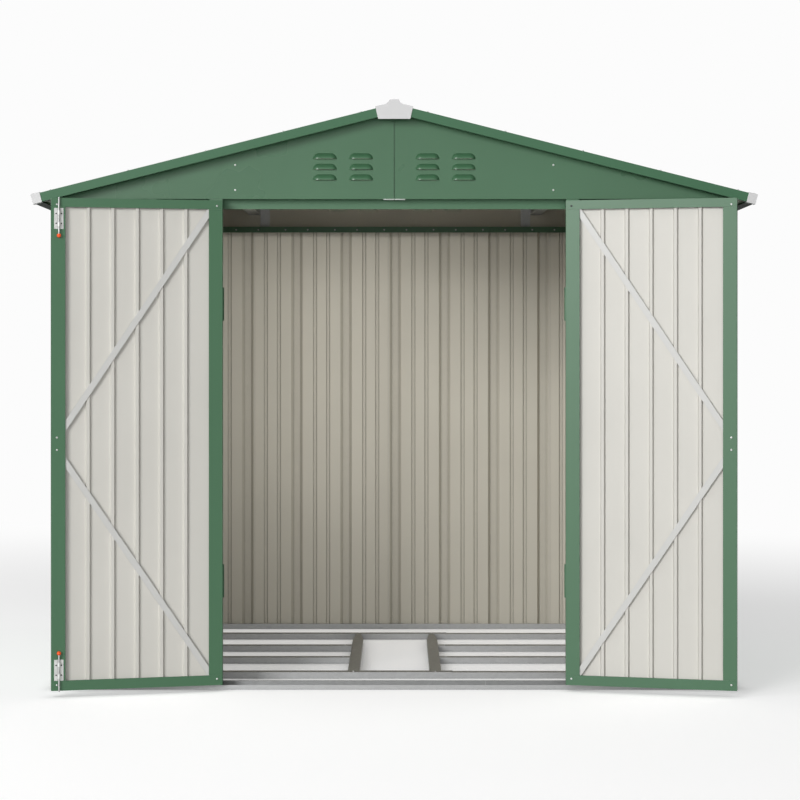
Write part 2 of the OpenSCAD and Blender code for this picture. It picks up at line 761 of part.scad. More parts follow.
// Hinges: the jamb's half holds the pin, and the door's half turns on it
module knuckle(z0, z1, r) translate([0, 0, z0]) cylinder(r = r, h = z1 - z0);
module jamb_hinge() {
    // The leaf lies on the jamb's face, one sheet behind the wall plane
    face_v = knuckle_r + post_y;
    difference() {
        union() {
            block([-hinge_leaf, face_v - hinge_t, -hinge_h / 2], [0, face_v, hinge_h / 2]);
            knuckle(-hinge_h / 2, hinge_h / 2, knuckle_r);
        }
        knuckle(-knuckle_h / 2 - knuckle_gap, knuckle_h / 2 + knuckle_gap, knuckle_r + seat);
    }
    knuckle(-hinge_h / 2, hinge_h / 2, pin_r);
}
module door_hinge() {
    difference() {
        union() {
            block([0, leaf_v - hinge_t, -hinge_h / 2], [hinge_leaf, leaf_v, hinge_h / 2]);
            knuckle(-knuckle_h / 2, knuckle_h / 2, knuckle_r);
        }
        for (side = [-1, 1])
            translate([0, 0, side * hinge_h / 2]) knuckle(-knuckle_h, knuckle_h, knuckle_r + seat);
        knuckle(-hinge_h, hinge_h, pin_r + running);
    }
}
module at_hinges() for (z = hinge_zs) translate([0, 0, z]) children();
module jamb_hinge_pair() shed_frame() translate([-hinge_x, -knuckle_r, 0]) at_hinges() jamb_hinge();
module jamb_hinges_left() { color(green) jamb_hinge_pair(); }
module jamb_hinges_right() { color(green) other_side() jamb_hinge_pair(); }
module left_door_hinges() { color(green) left_leaf() at_hinges() door_hinge(); }
module right_door_hinges() { color(green) right_leaf() at_hinges() door_hinge(); }

// Door frame: channels that open towards the panel, with the stiles between the full-width rails
module stile_outline(w) {
    difference() {
        square([w, door_t]);
        translate([frame_t, frame_t]) square([w, door_t - 2 * frame_t]);
    }
}
stile_z0 = leaf_z0 + door_bottom_w + seat;
stile_z1 = leaf_z1 - door_top_w - seat;
module door_frame() {
    for (free = [0, 1])
        translate([free ? free_u : leaf_u, leaf_v, stile_z0]) mirror([free, 0, 0])
            linear_extrude(stile_z1 - stile_z0) stile_outline(stile_w);
    for (top = [0, 1])
        translate([leaf_u, leaf_v, top ? leaf_z1 : leaf_z0]) mirror([0, 0, top])
            rail_bar(leaf_w, top ? door_top_w : door_bottom_w);
}
// A rail lies on its web, is open at the top and has its ends folded shut
module rail_bar(run, w) {
    difference() {
        cube([run, door_t, w]);
        translate([frame_t, frame_t, frame_t]) cube([run - 2 * frame_t, door_t - 2 * frame_t, w]);
    }
}
module left_door_frame() { color(green) left_leaf() door_frame(); }
module right_door_frame() { color(green) right_leaf() door_frame(); }

// Door panel: a sheet with narrow ribs turned inwards, held in the frame
door_rib_shape = [
    [-door_rib_foot / 2, 0],
    [-door_rib_top / 2, door_rib_h],
    [door_rib_top / 2, door_rib_h],
    [door_rib_foot / 2, 0]
];
function door_rib_x(k, x0, x1) = (x0 + x1) / 2 + (k - (door_ribs - 1) / 2) * door_rib_pitch;
function door_rib_line(x0, x1) = concat(
    [[x0, 0]],
    [for (k = [0 : door_ribs - 1], p = door_rib_shape) p + [door_rib_x(k, x0, x1), 0]],
    [[x1, 0]]
);
module door_panel() {
    line = door_rib_line(leaf_u + frame_t + seat, free_u - frame_t - seat);
    z0 = leaf_z0 + frame_t + seat;
    z1 = leaf_z1 - frame_t - seat;
    translate([0, panel_v, z0]) linear_extrude(z1 - z0)
        polygon(concat(line, reversed([for (p = line) p + [0, sheet_t]])));
}
module left_door_panel() { color(cream) left_leaf() door_panel(); }
module right_door_panel() { color(cream) right_leaf() door_panel(); }

// Door braces: flat bars on the ribs, from the hinge stile's ends to the free stile's middle
module brace_bar(a, b) {
    along = (b - a) / norm(b - a);
    across = [-along[1], along[0]] * brace_w / 2;
    first = a - along * brace_tuck;
    last = b + along * brace_tuck;
    translate([0, brace_v + brace_t, 0]) rotate([90, 0, 0]) linear_extrude(brace_t)
        polygon([first - across, last - across, last + across, first + across]);
}
module door_braces() {
    hinge_end_u = leaf_u + stile_w;
    free_end_u = free_u - stile_w;
    brace_bar([hinge_end_u, leaf_z1 - door_top_w - brace_corner], [free_end_u, leaf_mid + brace_apart]);
    brace_bar([hinge_end_u, leaf_z0 + door_bottom_w + brace_corner], [free_end_u, leaf_mid - brace_apart]);
}
module left_door_braces() { color(pale) left_leaf() door_braces(); }
module right_door_braces() { color(pale) right_leaf() door_braces(); }

// Barrel bolts on the left door's free stile: drawn for the top one, and turned over for the other
module bottom_bolt_side() translate([0, 0, leaf_z0 + leaf_z1]) mirror([0, 0, 1]) children();
guide_top = leaf_z1 - guide_inset;
guide_loop = 14;
guide_loop_inset = 8;
guide_loop_r = bolt_r + 2;
module bolt_guide() {
    difference() {
        union() {
            block(
                [bolt_u - guide_w / 2, leaf_in, guide_top - guide_h],
                [bolt_u + guide_w / 2, leaf_in + guide_t, guide_top]
            );
            for (z = [guide_top - guide_loop_inset - guide_loop, guide_top - guide_h + guide_loop_inset])
                translate([bolt_u, 0, z]) {
                    translate([0, bolt_v, 0]) cylinder(r = guide_loop_r, h = guide_loop);
                    block([-guide_loop_r, leaf_in, 0], [guide_loop_r, bolt_v, guide_loop]);
                }
        }
        translate([bolt_u, bolt_v, guide_top - 2 * guide_h]) cylinder(r = bolt_r + running, h = 3 * guide_h);
    }
}
module bolt_guides() {
    color(steel) left_leaf() {
        bolt_guide();
        bottom_bolt_side() bolt_guide();
    }
}
bolt_tip_z = leaf_z1 + bolt_tip;
knob_sink = 1;
knob_z = bolt_tip_z - bolt_len - knob_r + knob_sink;
module bolt_rod() {
    translate([bolt_u, bolt_v, bolt_tip_z - bolt_len]) cylinder(r = bolt_r, h = bolt_len);
}
module bolt_knob() {
    translate([bolt_u, bolt_v, 0]) difference() {
        translate([0, 0, knob_z]) sphere(r = knob_r);
        translate([-2 * knob_r, -2 * knob_r, bolt_tip_z - bolt_len]) cube(4 * knob_r);
    }
}
module top_bolt_rod() { color(steel) left_leaf() bolt_rod(); }
module top_bolt_knob() { color(orange) left_leaf() bolt_knob(); }
module bottom_bolt_rod() { color(steel) left_leaf() bottom_bolt_side() bolt_rod(); }
module bottom_bolt_knob() { color(orange) left_leaf() bottom_bolt_side() bolt_knob(); }

// Handle on the outside of the right door's free stile
handle_foot_r = handle_r + 5;
handle_foot_t = 2.5;
module door_handle() {
    post_z = handle_len / 2 - handle_r;
    color(dark) right_leaf() translate([free_u - stile_w / 2, leaf_v, handle_z]) {
        for (z = [-post_z, post_z]) translate([0, 0, z]) {
            rotate([90, 0, 0]) cylinder(r = handle_r, h = handle_out - handle_r);
            translate([0, handle_r - handle_out, 0]) sphere(r = handle_r);
            rotate([90, 0, 0]) cylinder(r = handle_foot_r, h = handle_foot_t);
        }
        translate([0, handle_r - handle_out, -post_z]) cylinder(r = handle_r, h = 2 * post_z);
    }
}

base_rail_front();
base_rail_rear();
base_rail_left();
base_rail_right();
floor_rails();
floor_stringers();
floor_joists();
wall_rear();
wall_left();
wall_right();
front_panel_left();
front_panel_right();
door_jamb_left();
door_jamb_right();
corner_posts();
head_rail_front();
head_rail_rear();
head_rail_left();
head_rail_right();
gable_front();
gable_rear();
strike_plate();
purlins();
purlin_brackets();
roof_left();
roof_right();
ridge_cap();
ridge_ends();
verge_trim_front();
verge_trim_rear();
eave_trim_left();
eave_trim_right();
corner_caps();
jamb_hinges_left();
jamb_hinges_right();
left_door_frame();
left_door_panel();
left_door_braces();
left_door_hinges();
bolt_guides();
top_bolt_rod();
top_bolt_knob();
bottom_bolt_rod();
bottom_bolt_knob();
right_door_frame();
right_door_panel();
right_door_braces();
right_door_hinges();
door_handle();
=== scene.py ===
"""Metal storage shed: finishes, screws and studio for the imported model."""
import json
import math

import bmesh
import bpy
from bpy.props import FloatProperty, FloatVectorProperty, IntProperty, PointerProperty
from mathutils import Matrix, Vector


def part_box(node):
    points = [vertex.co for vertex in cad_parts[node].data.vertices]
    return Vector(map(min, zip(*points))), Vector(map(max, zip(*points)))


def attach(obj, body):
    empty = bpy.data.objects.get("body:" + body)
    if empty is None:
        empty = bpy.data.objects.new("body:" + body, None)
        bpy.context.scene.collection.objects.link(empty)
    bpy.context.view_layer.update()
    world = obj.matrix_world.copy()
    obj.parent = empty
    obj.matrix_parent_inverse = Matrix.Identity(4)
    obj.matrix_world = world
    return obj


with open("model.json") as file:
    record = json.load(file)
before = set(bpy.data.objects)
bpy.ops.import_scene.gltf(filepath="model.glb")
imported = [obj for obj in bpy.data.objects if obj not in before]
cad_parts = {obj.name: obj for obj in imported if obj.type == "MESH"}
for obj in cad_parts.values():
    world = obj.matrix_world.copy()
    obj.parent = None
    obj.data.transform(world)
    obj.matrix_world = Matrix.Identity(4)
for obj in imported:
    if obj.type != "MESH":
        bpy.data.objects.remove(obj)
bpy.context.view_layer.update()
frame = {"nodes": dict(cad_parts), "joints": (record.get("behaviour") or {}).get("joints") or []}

bl_info = {
    "name": "Metal storage shed",
    "version": (1, 0, 0),
    "blender": (4, 5, 0),
    "location": "3D View > Sidebar > Shed",
    "description": "Finishes, screws and studio for a sheet-steel storage shed",
    "category": "Object",
}

MM = 0.001

# Places on the shed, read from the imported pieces, in metres
FRONT_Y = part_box("base_rail_front")[0].y
REAR_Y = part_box("base_rail_rear")[1].y
MID_Y = (FRONT_Y + REAR_Y) / 2
HALF_DEPTH = (REAR_Y - FRONT_Y) / 2
HALF_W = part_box("base_rail_front")[1].x
EAVE_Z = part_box("head_rail_front")[1].z
VERGE_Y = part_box("verge_trim_front")[0].y
RIDGE_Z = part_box("gable_front")[1].z
DOOR_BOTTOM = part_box("left_door_frame")[0].z
DOOR_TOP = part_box("left_door_frame")[1].z
LEFT_HINGE = next(j for j in frame["joints"] if j["name"] == "left_door_hinge")
HINGE_X = -LEFT_HINGE["pos_m"][0]
HINGE_Y = LEFT_HINGE["pos_m"][1]

# Slope of the roof, and angle from the open doors to the closed ones
ROOF_PITCH = math.radians(14.1)
DOOR_OPEN = math.radians(LEFT_HINGE["range_deg"][1])

# Directions and sides, as seen from the front
DOWN = (0, 0, -1)
TO_REAR = (0, 1, 0)
TO_FRONT = (0, -1, 0)
TO_RIGHT = (1, 0, 0)
TO_LEFT = (-1, 0, 0)
SIDES = (("left", -1), ("right", 1))

# Length by which the line of a screw starts off the piece that it is set on
OUT = 0.3

# Sockets of a Mix node that take the two colours
COLOUR_A = 6
COLOUR_B = 7


def linear(hex_colour):
    """Linear RGBA of an sRGB hex colour."""
    channels = [int(hex_colour[i:i + 2], 16) / 255 for i in (1, 3, 5)]
    rgb = [c / 12.92 if c <= 0.04045 else ((c + 0.055) / 1.055) ** 2.4 for c in channels]
    return (*rgb, 1.0)


def colour_property(name, description, hex_colour):
    """A colour that a user would change."""
    return FloatVectorProperty(
        name=name, description=description, subtype="COLOR", size=4, min=0, max=1, default=linear(hex_colour)
    )


def length_property(name, description, metres):
    """A length that a user would change."""
    return FloatProperty(
        name=name, description=description, default=metres, min=0, subtype="DISTANCE", unit="LENGTH"
    )


def offset_property(name, description, metres):
    """A distance to one side, which is negative towards the other side."""
    return FloatProperty(
        name=name, description=description, default=metres, subtype="DISTANCE", unit="LENGTH"
    )


def angle_property(name, description, degrees):
    """An angle that a user would change."""
    return FloatProperty(
        name=name, description=description, default=math.radians(degrees), subtype="ANGLE", unit="ROTATION"
    )


def power_property(name, description, watts):
    """The power of a lamp."""
    return FloatProperty(name=name, description=description, default=watts, min=0, unit="POWER")


def strength_property(name, description, share):
    """A brightness as a share of white."""
    return FloatProperty(name=name, description=description, default=share, min=0, max=1)


class ShedColours(bpy.types.PropertyGroup):
    """Colours of the shed's finishes."""

    green: colour_property("Green coat", "Polyester coat on the outside, the rails and the doors", "#41684b")
    trim: colour_property("Trim coat", "Polyester coat on the roof's edge trims", "#40684c")
    # Painted shade: near-black on the undersides of the eave trims, which are green coat lying in shadow
    painted_eave_shade: colour_property("Backing coat", "Painted shade under the eave trims", "#141915")
    cream: colour_property("Cream coat", "Backing coat inside the walls, gables and roof", "#cdc8ba")
    # The walls' cream coat, drawn paler and greyer on the doors as a painted sheen
    door_cream: colour_property("Door cream", "Backing coat on the inside of the door sheets", "#cfcdc6")
    braces: colour_property("Brace coat", "Powder coat on the door braces", "#cacac7")
    galvanised: colour_property("Galvanised steel", "Zinc on the base, floor frame and purlins", "#a8a9a9")
    plated: colour_property("Zinc plate", "Plating on the screws, bolt guides and strike plates", "#cfd0ce")
    # On the rear rail's screws this darker zinc is a painted shade
    rods: colour_property("Bolt rods", "Plating on the bolt rods and the rear rail's screws", "#b2b3b2")
    # The one screw is a corner screw of the right door, which is drawn dark
    black: colour_property("Blackened steel", "Black oxide on the bolts' rivets and one screw", "#3c3d3d")
    caps: colour_property("Caps", "Moulded corner caps and ridge ends", "#d1d1d1")
    washers: colour_property("Washers", "Plastic washers under the screws", "#e6e6e2")
    knobs: colour_property("Bolt knobs", "Moulded knobs of the bolts", "#fb5a1e")
    handle: colour_property("Handle", "Moulded pull handle", "#2a2c2b")


class ShedSizes(bpy.types.PropertyGroup):
    """Sizes of the screws and of the patterns in which they stand."""

    head_r: length_property("Screw head radius", "Radius of a pan head", 3.4 * MM)
    head_h: length_property("Screw head height", "Height of a pan head", 2.2 * MM)
    washer_r: length_property("Washer radius", "Radius of a plastic washer", 5.5 * MM)
    washer_t: length_property("Washer thickness", "Thickness of a plastic washer", 1.2 * MM)
    rib_pitch: length_property("Rib pitch", "Distance between the large ribs of the sheets", 200 * MM)
    rib_side: length_property("Screw from rib", "From the middle of a rib to a sheet screw", 45 * MM)
    seam_pitch: length_property("Seam pitch", "Largest step between the screws of a seam", 330 * MM)
    round_steps: IntProperty(
        name="Roundness", description="Sides of a screw head and washer", default=20, min=8, max=64
    )


class ShedStudio(bpy.types.PropertyGroup):
    """Light, floor and camera."""

    camera_distance: length_property("Camera distance", "From the front wall to the camera", 7.362)
    camera_height: length_property("Camera height", "Height of the camera above the floor", 1.115)
    camera_side: offset_property("Camera offset", "Camera to the right of the middle", 0.019)
    camera_shift: FloatProperty(
        name="Camera shift", description="Vertical shift of the lens", default=-0.05875
    )
    key_turn: angle_property("Key turn", "Key light to the left of the front", 30)
    key_rise: angle_property("Key rise", "Key light above the horizon", 14)
    key_distance: length_property("Key distance", "From the shed to the key light", 20.0)
    key_width: length_property("Key width", "Width of the key light", 7.0)
    key_height: length_property("Key height", "Height of the key light", 6.0)
    key_power: power_property("Key power", "Power of the key light", 2500)
    fill_turn: angle_property("Fill turn", "Fill light to the left of the front", 0)
    fill_rise: angle_property("Fill rise", "Fill light above the horizon", 3)
    fill_distance: length_property("Fill distance", "From the shed to the fill light", 11.0)
    fill_width: length_property("Fill width", "Width of the fill light", 6.5)
    fill_height: length_property("Fill height", "Height of the fill light", 3.2)
    fill_power: power_property("Fill power", "Power of the fill light", 395)
    top_turn: angle_property("Top turn", "Top light to the left of the front", 60)
    top_rise: angle_property("Top rise", "Top light above the horizon", 50)
    top_distance: length_property("Top distance", "From the shed to the top light", 9.0)
    top_width: length_property("Top width", "Width of the top light", 4.0)
    top_height: length_property("Top height", "Height of the top light", 4.0)
    top_power: power_property("Top power", "Power of the top light", 140)
    right_turn: angle_property("Right turn", "Right light to the left of the front", -100)
    right_rise: angle_property("Right rise", "Right light above the horizon", 5)
    right_distance: length_property("Right distance", "From the shed to the right light", 5.2)
    right_width: length_property("Right width", "Width of the right light", 4.0)
    right_height: length_property("Right height", "Height of the right light", 2.4)
    right_power: power_property("Right power", "Power of the right light", 12)
    right_spread: angle_property("Right spread", "Angle of the right light's beam", 50)
    back_turn: angle_property("Back turn", "Back light to the left of the front", 175)
    back_rise: angle_property("Back rise", "Back light above the horizon", 6)
    back_distance: length_property("Back distance", "From the shed to the back light", 10.0)
    back_width: length_property("Back width", "Width of the back light", 6.0)
    back_height: length_property("Back height", "Height of the back light", 3.0)
    back_power: power_property("Back power", "Power of the back light", 17)
    back_spread: angle_property("Back spread", "Angle of the back light's beam", 40)
    doorway_side: offset_property("Doorway offset", "Doorway light to the right of the middle", -0.24)
    doorway_in: length_property("Doorway depth", "From the front wall in to the doorway light", 60 * MM)
    doorway_z: length_property("Doorway rise", "Middle of the doorway light above the floor", 1.08)
    doorway_tilt: angle_property("Doorway tilt", "Angle by which the doorway light looks down", 3)
    doorway_width: length_property("Doorway width", "Width of the doorway light", 0.3)
    doorway_height: length_property("Doorway height", "Height of the doorway light", 0.8)
    doorway_power: power_property("Doorway power", "Power of the doorway light", 2.85)
    doorway_spread: angle_property("Doorway spread", "Angle of the doorway light's beam", 90)
    ambient: strength_property("Ambient", "Strength of the light from all round", 0.15)
    felt: colour_property("Felt", "Dark screens out of the picture", "#1a1a1a")
    floor: colour_property("Floor", "Studio floor", "#eeeeee")
    bounce: colour_property("Floor bounce", "Studio floor as it throws light back on the shed", "#808080")
    backdrop: colour_property("Backdrop", "What shows behind the floor", "#fcfcfc")
    floor_lift: strength_property("Floor lift", "What the camera sees on the floor besides its light", 0.53)
    inside_shade: strength_property("Inside shade", "By how much that is less inside the shed", 0.1)
    shade_reach: length_property("Shade reach", "Distance within which the shed darkens the floor", 0.06)
    fade_side: length_property("Fade offset", "Middle of the floor's fade to the left of the shed's", 0.6)
    fade_start: length_property("Fade start", "Distance at which the floor starts to fade", 1.5)
    fade_end: length_property("Fade end", "Distance at which the floor has become the backdrop", 6.5)


def add_node(tree, kind, inputs=None, **settings):
    """A shader node with its settings; inputs are linked from sockets or set to plain values."""
    node = tree.nodes.new(kind)
    for name, value in settings.items():
        setattr(node, name, value)
    for socket, source in (inputs or {}).items():
        if isinstance(source, bpy.types.NodeSocket):
            tree.links.new(source, node.inputs[socket])
        else:
            node.inputs[socket].default_value = source
    return node


def new_tree(name):
    """An empty material and its node tree."""
    material = bpy.data.materials.new(name)
    material.use_nodes = True
    material.node_tree.nodes.clear()
    return material, material.node_tree


def finish_tree(tree, shader):
    """Shows a shader as the material's surface."""
    add_node(tree, "ShaderNodeOutputMaterial", {"Surface": shader.outputs[0]})


def per_metre(size_mm):
    """Texture scale at which one feature of a noise is that many millimetres across."""
    return 1 / (size_mm * MM)


# Polyester-coated steel: rolled on in a coil line, so the film is even, with a satin gloss, a faint
# orange peel and slow waves in the thin sheet behind it. Faces that look along inward can have another
# colour: a cream coat, or on the eave trims a painted shade. A shade value below 1 for the grooves
# paints shade into the coat deep beside the ribs, and is the share of the colour that is left there.
def coated_steel(
    name, colour, roughness, specular=0.5, inside=None, inside_roughness=0.5, inward=None, groove=1
):
    material, tree = new_tree(name)
    place = add_node(tree, "ShaderNodeTexCoord")
    mottle = add_node(
        tree, "ShaderNodeTexNoise",
        {"Vector": place.outputs["Object"], "Scale": per_metre(260), "Detail": 3.0},
    )
    shade = add_node(
        tree, "ShaderNodeMapRange", {"Value": mottle.outputs["Fac"], "To Min": 0.95, "To Max": 1.05}
    )
    gloss = add_node(
        tree, "ShaderNodeMapRange",
        {"Value": mottle.outputs["Fac"], "To Min": roughness - 0.03, "To Max": roughness + 0.03},
    )
    colour_here = colour[:3]
    if inside is not None:
        facing = add_node(
            tree, "ShaderNodeVectorMath", {0: place.outputs["Normal"], 1: inward}, operation="DOT_PRODUCT"
        )
        is_inside = add_node(
            tree, "ShaderNodeMath", {0: facing.outputs["Value"], 1: 0.02}, operation="GREATER_THAN"
        )
        sides = add_node(
            tree, "ShaderNodeMix",
            {"Factor": is_inside.outputs[0], COLOUR_A: colour, COLOUR_B: inside}, data_type="RGBA",
        )
        colour_here = sides.outputs[2]
        gloss = add_node(
            tree, "ShaderNodeMapRange",
            {"Value": is_inside.outputs[0], "To Min": gloss.outputs["Result"], "To Max": inside_roughness},
        )
    # Painted shade: the colour darkens where an occlusion node finds the sheet closed in, deep in the
    # grooves
    if groove < 1:
        hollow = add_node(
            tree, "ShaderNodeAmbientOcclusion", {"Distance": 30 * MM}, only_local=True, samples=2
        )
        shade = add_node(
            tree, "ShaderNodeMapRange",
            {
                "Value": hollow.outputs["AO"], "From Min": 0.3, "To Min": groove,
                "To Max": shade.outputs["Result"],
            },
        )
    tinted = add_node(
        tree, "ShaderNodeVectorMath", {0: colour_here, "Scale": shade.outputs["Result"]}, operation="SCALE"
    )
    # The peel is really about 1 mm; it is drawn at 4 mm, so that it shows at the size of a whole shed
    peel = add_node(
        tree, "ShaderNodeTexNoise",
        {"Vector": place.outputs["Object"], "Scale": per_metre(4), "Detail": 2.0},
    )
    waves = add_node(
        tree, "ShaderNodeTexNoise",
        {"Vector": place.outputs["Object"], "Scale": per_metre(180), "Detail": 1.0},
    )
    waved = add_node(
        tree, "ShaderNodeBump", {"Height": waves.outputs["Fac"], "Strength": 0.25, "Distance": 2 * MM}
    )
    peeled = add_node(
        tree, "ShaderNodeBump",
        {
            "Height": peel.outputs["Fac"], "Strength": 0.08, "Distance": 0.2 * MM,
            "Normal": waved.outputs["Normal"],
        },
    )
    coat = add_node(
        tree, "ShaderNodeBsdfPrincipled",
        {
            "Base Color": tinted.outputs["Vector"], "Roughness": gloss.outputs["Result"], "IOR": 1.5,
            "Specular IOR Level": specular, "Normal": peeled.outputs["Normal"],
        },
    )
    finish_tree(tree, coat)
    return material


# Hot-dip galvanised steel: the zinc freezes into flat crystals, so the grey changes from spangle to spangle
def galvanised_steel(name, colour):
    material, tree = new_tree(name)
    place = add_node(tree, "ShaderNodeTexCoord")
    spangle = add_node(
        tree, "ShaderNodeTexVoronoi", {"Vector": place.outputs["Object"], "Scale": per_metre(9)}
    )
    tone = add_node(tree, "ShaderNodeSeparateColor", {"Color": spangle.outputs["Color"]})
    shade = add_node(
        tree, "ShaderNodeMapRange", {"Value": tone.outputs[0], "To Min": 0.97, "To Max": 1.03}
    )
    tinted = add_node(
        tree, "ShaderNodeVectorMath", {0: colour[:3], "Scale": shade.outputs["Result"]}, operation="SCALE"
    )
    gloss = add_node(
        tree, "ShaderNodeMapRange", {"Value": tone.outputs[1], "To Min": 0.42, "To Max": 0.5}
    )
    grain = add_node(
        tree, "ShaderNodeTexNoise",
        {"Vector": place.outputs["Object"], "Scale": per_metre(3), "Detail": 2.0},
    )
    bump = add_node(
        tree, "ShaderNodeBump", {"Height": grain.outputs["Fac"], "Strength": 0.08, "Distance": 0.2 * MM}
    )
    zinc = add_node(
        tree, "ShaderNodeBsdfPrincipled",
        {
            "Base Color": tinted.outputs["Vector"], "Metallic": 1.0, "Roughness": gloss.outputs["Result"],
            "Normal": bump.outputs["Normal"],
        },
    )
    finish_tree(tree, zinc)
    return material


# Plated steel: zinc or black oxide over turned or pressed steel, with a fine haze in the gloss of the metal
def plated_steel(name, colour, roughness):
    material, tree = new_tree(name)
    place = add_node(tree, "ShaderNodeTexCoord")
    haze = add_node(
        tree, "ShaderNodeTexNoise",
        {"Vector": place.outputs["Object"], "Scale": per_metre(5), "Detail": 4.0},
    )
    gloss = add_node(
        tree, "ShaderNodeMapRange",
        {"Value": haze.outputs["Fac"], "To Min": roughness - 0.07, "To Max": roughness + 0.07},
    )
    shade = add_node(
        tree, "ShaderNodeMapRange", {"Value": haze.outputs["Fac"], "To Min": 0.94, "To Max": 1.04}
    )
    tinted = add_node(
        tree, "ShaderNodeVectorMath", {0: colour[:3], "Scale": shade.outputs["Result"]}, operation="SCALE"
    )
    plate = add_node(
        tree, "ShaderNodeBsdfPrincipled",
        {"Base Color": tinted.outputs["Vector"], "Metallic": 1.0, "Roughness": gloss.outputs["Result"]},
    )
    finish_tree(tree, plate)
    return material


# Moulded plastic: the mould's spark-eroded face leaves a fine even grain and a soft sheen
def moulded_plastic(name, colour, roughness, grain_mm, ior):
    material, tree = new_tree(name)
    place = add_node(tree, "ShaderNodeTexCoord")
    flow = add_node(
        tree, "ShaderNodeTexNoise",
        {"Vector": place.outputs["Object"], "Scale": per_metre(30), "Detail": 2.0},
    )
    shade = add_node(
        tree, "ShaderNodeMapRange", {"Value": flow.outputs["Fac"], "To Min": 0.96, "To Max": 1.04}
    )
    tinted = add_node(
        tree, "ShaderNodeVectorMath", {0: colour[:3], "Scale": shade.outputs["Result"]}, operation="SCALE"
    )
    grain = add_node(
        tree, "ShaderNodeTexNoise",
        {"Vector": place.outputs["Object"], "Scale": per_metre(grain_mm), "Detail": 2.0},
    )
    gloss = add_node(
        tree, "ShaderNodeMapRange",
        {"Value": grain.outputs["Fac"], "To Min": roughness - 0.05, "To Max": roughness + 0.05},
    )
    bump = add_node(
        tree, "ShaderNodeBump", {"Height": grain.outputs["Fac"], "Strength": 0.15, "Distance": 0.1 * MM}
    )
    plastic = add_node(
        tree, "ShaderNodeBsdfPrincipled",
        {
            "Base Color": tinted.outputs["Vector"], "Roughness": gloss.outputs["Result"], "IOR": ior,
            "Normal": bump.outputs["Normal"],
        },
    )
    finish_tree(tree, plastic)
    return material


def finish(name, build, **values):
    """The material of that name, made by the given function the first time it is asked for."""
    return bpy.data.materials.get(name) or build(name, **values)


def green_coat():
    """Coat of the posts, jambs, head rails, door frames and hinges."""
    green = bpy.context.scene.shed_colours.green[:]
    return finish("polyester_coated_steel_green", coated_steel, colour=green, roughness=0.4)


def trim_coat():
    """Coat of the ridge cap and the verge trims."""
    trim = bpy.context.scene.shed_colours.trim[:]
    return finish("polyester_coated_steel_trim", coated_steel, colour=trim, roughness=0.5, specular=0.3)


def two_sided(where, inside, inward, roughness=0.34, groove=1):
    """Sheet with a green outside and another colour on the faces that look along inward."""
    return finish(
        "polyester_coated_steel_two_sided_" + where, coated_steel,
        colour=bpy.context.scene.shed_colours.green[:], roughness=roughness, inside=inside[:],
        inward=inward, groove=groove,
    )


def brace_coat():
    """Powder coat of the braces, which melts to the same satin film with a faint peel."""
    braces = bpy.context.scene.shed_colours.braces[:]
    return finish("powder_coated_steel_grey", coated_steel, colour=braces, roughness=0.42)


def galvanised():
    """Zinc of the base rails, floor frame and purlins."""
    zinc = bpy.context.scene.shed_colours.galvanised[:]
    return finish("hot_dip_galvanised_steel", galvanised_steel, colour=zinc)


def plated():
    """Bright zinc of the screws and strike plates."""
    zinc = bpy.context.scene.shed_colours.plated[:]
    return finish("zinc_plated_steel", plated_steel, colour=zinc, roughness=0.29)


def rod_steel():
    """Duller zinc of the bolt rods; on the screws in the rear head rail the same darker zinc is a painted
    shade.
    """
    rods = bpy.context.scene.shed_colours.rods[:]
    return finish("zinc_plated_drawn_steel", plated_steel, colour=rods, roughness=0.5)


def blackened():
    """Black oxide of the bolts' rivets, whose near-black is also drawn on one corner screw."""
    black = bpy.context.scene.shed_colours.black[:]
    return finish("blackened_steel", plated_steel, colour=black, roughness=0.4)


def washer_plastic():
    """Polyethylene of the washers."""
    pale = bpy.context.scene.shed_colours.washers[:]
    return finish("polyethylene_pale", moulded_plastic, colour=pale, roughness=0.5, grain_mm=2, ior=1.51)


def paint(material, *nodes):
    """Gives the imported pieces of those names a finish."""
    for node in nodes:
        mesh = frame["nodes"][node].data
        mesh.materials.clear()
        mesh.materials.append(material)


def cross_points(arm, half_width):
    """Corners of a cross recess, in order round it."""
    quarter = [(arm, -half_width), (arm, half_width), (half_width, half_width)]
    points = []
    for k in range(4):
        turn = Matrix.Rotation(k * math.pi / 2, 2)
        points += [turn @ Vector(p) for p in quarter]
    return points


def ring(bm, radius, z, steps):
    """Circle of vertices at a height."""
    angles = [2 * math.pi * k / steps for k in range(steps)]
    return [bm.verts.new((radius * math.cos(a), radius * math.sin(a), z)) for a in angles]


def skin(bm, lower, upper):
    """Side faces between two loops of as many vertices."""
    n = len(lower)
    for k in range(n):
        bm.faces.new((lower[k], lower[(k + 1) % n], upper[(k + 1) % n], upper[k]))


def shape_data(bm):
    """Vertices and faces of a small form that is copied to many places."""
    bm.verts.index_update()
    points = [v.co.copy() for v in bm.verts]
    faces = [[v.index for v in f.verts] for f in bm.faces]
    bm.free()
    return points, faces


def pan_head(radius, height, steps):
    """Domed pan head with a cross recess, standing on its seat."""
    bm = bmesh.new()
    # Shares of the radius and of the height, from the seat to the flat top
    profile = [(1, 0), (1, 0.3), (0.95, 0.6), (0.82, 0.86), (0.64, 1)]
    rings = [ring(bm, radius * r, height * z, steps) for r, z in profile]
    for lower, upper in zip(rings, rings[1:]):
        skin(bm, lower, upper)
    mouth = [bm.verts.new((p.x, p.y, height)) for p in cross_points(0.5 * radius, 0.12 * radius)]
    foot = [bm.verts.new((p.x, p.y, 0.45 * height)) for p in cross_points(0.36 * radius, 0.09 * radius)]
    edges = []
    for loop in (rings[-1], mouth):
        for a, b in zip(loop, loop[1:] + loop[:1]):
            edges.append(bm.edges.get((a, b)) or bm.edges.new((a, b)))
    bmesh.ops.triangle_fill(bm, use_beauty=True, edges=edges, normal=(0, 0, 1))
    skin(bm, mouth, foot)
    bm.faces.new(foot)
    bm.faces.new(list(reversed(rings[0])))
    bmesh.ops.recalc_face_normals(bm, faces=bm.faces[:])
    return shape_data(bm)


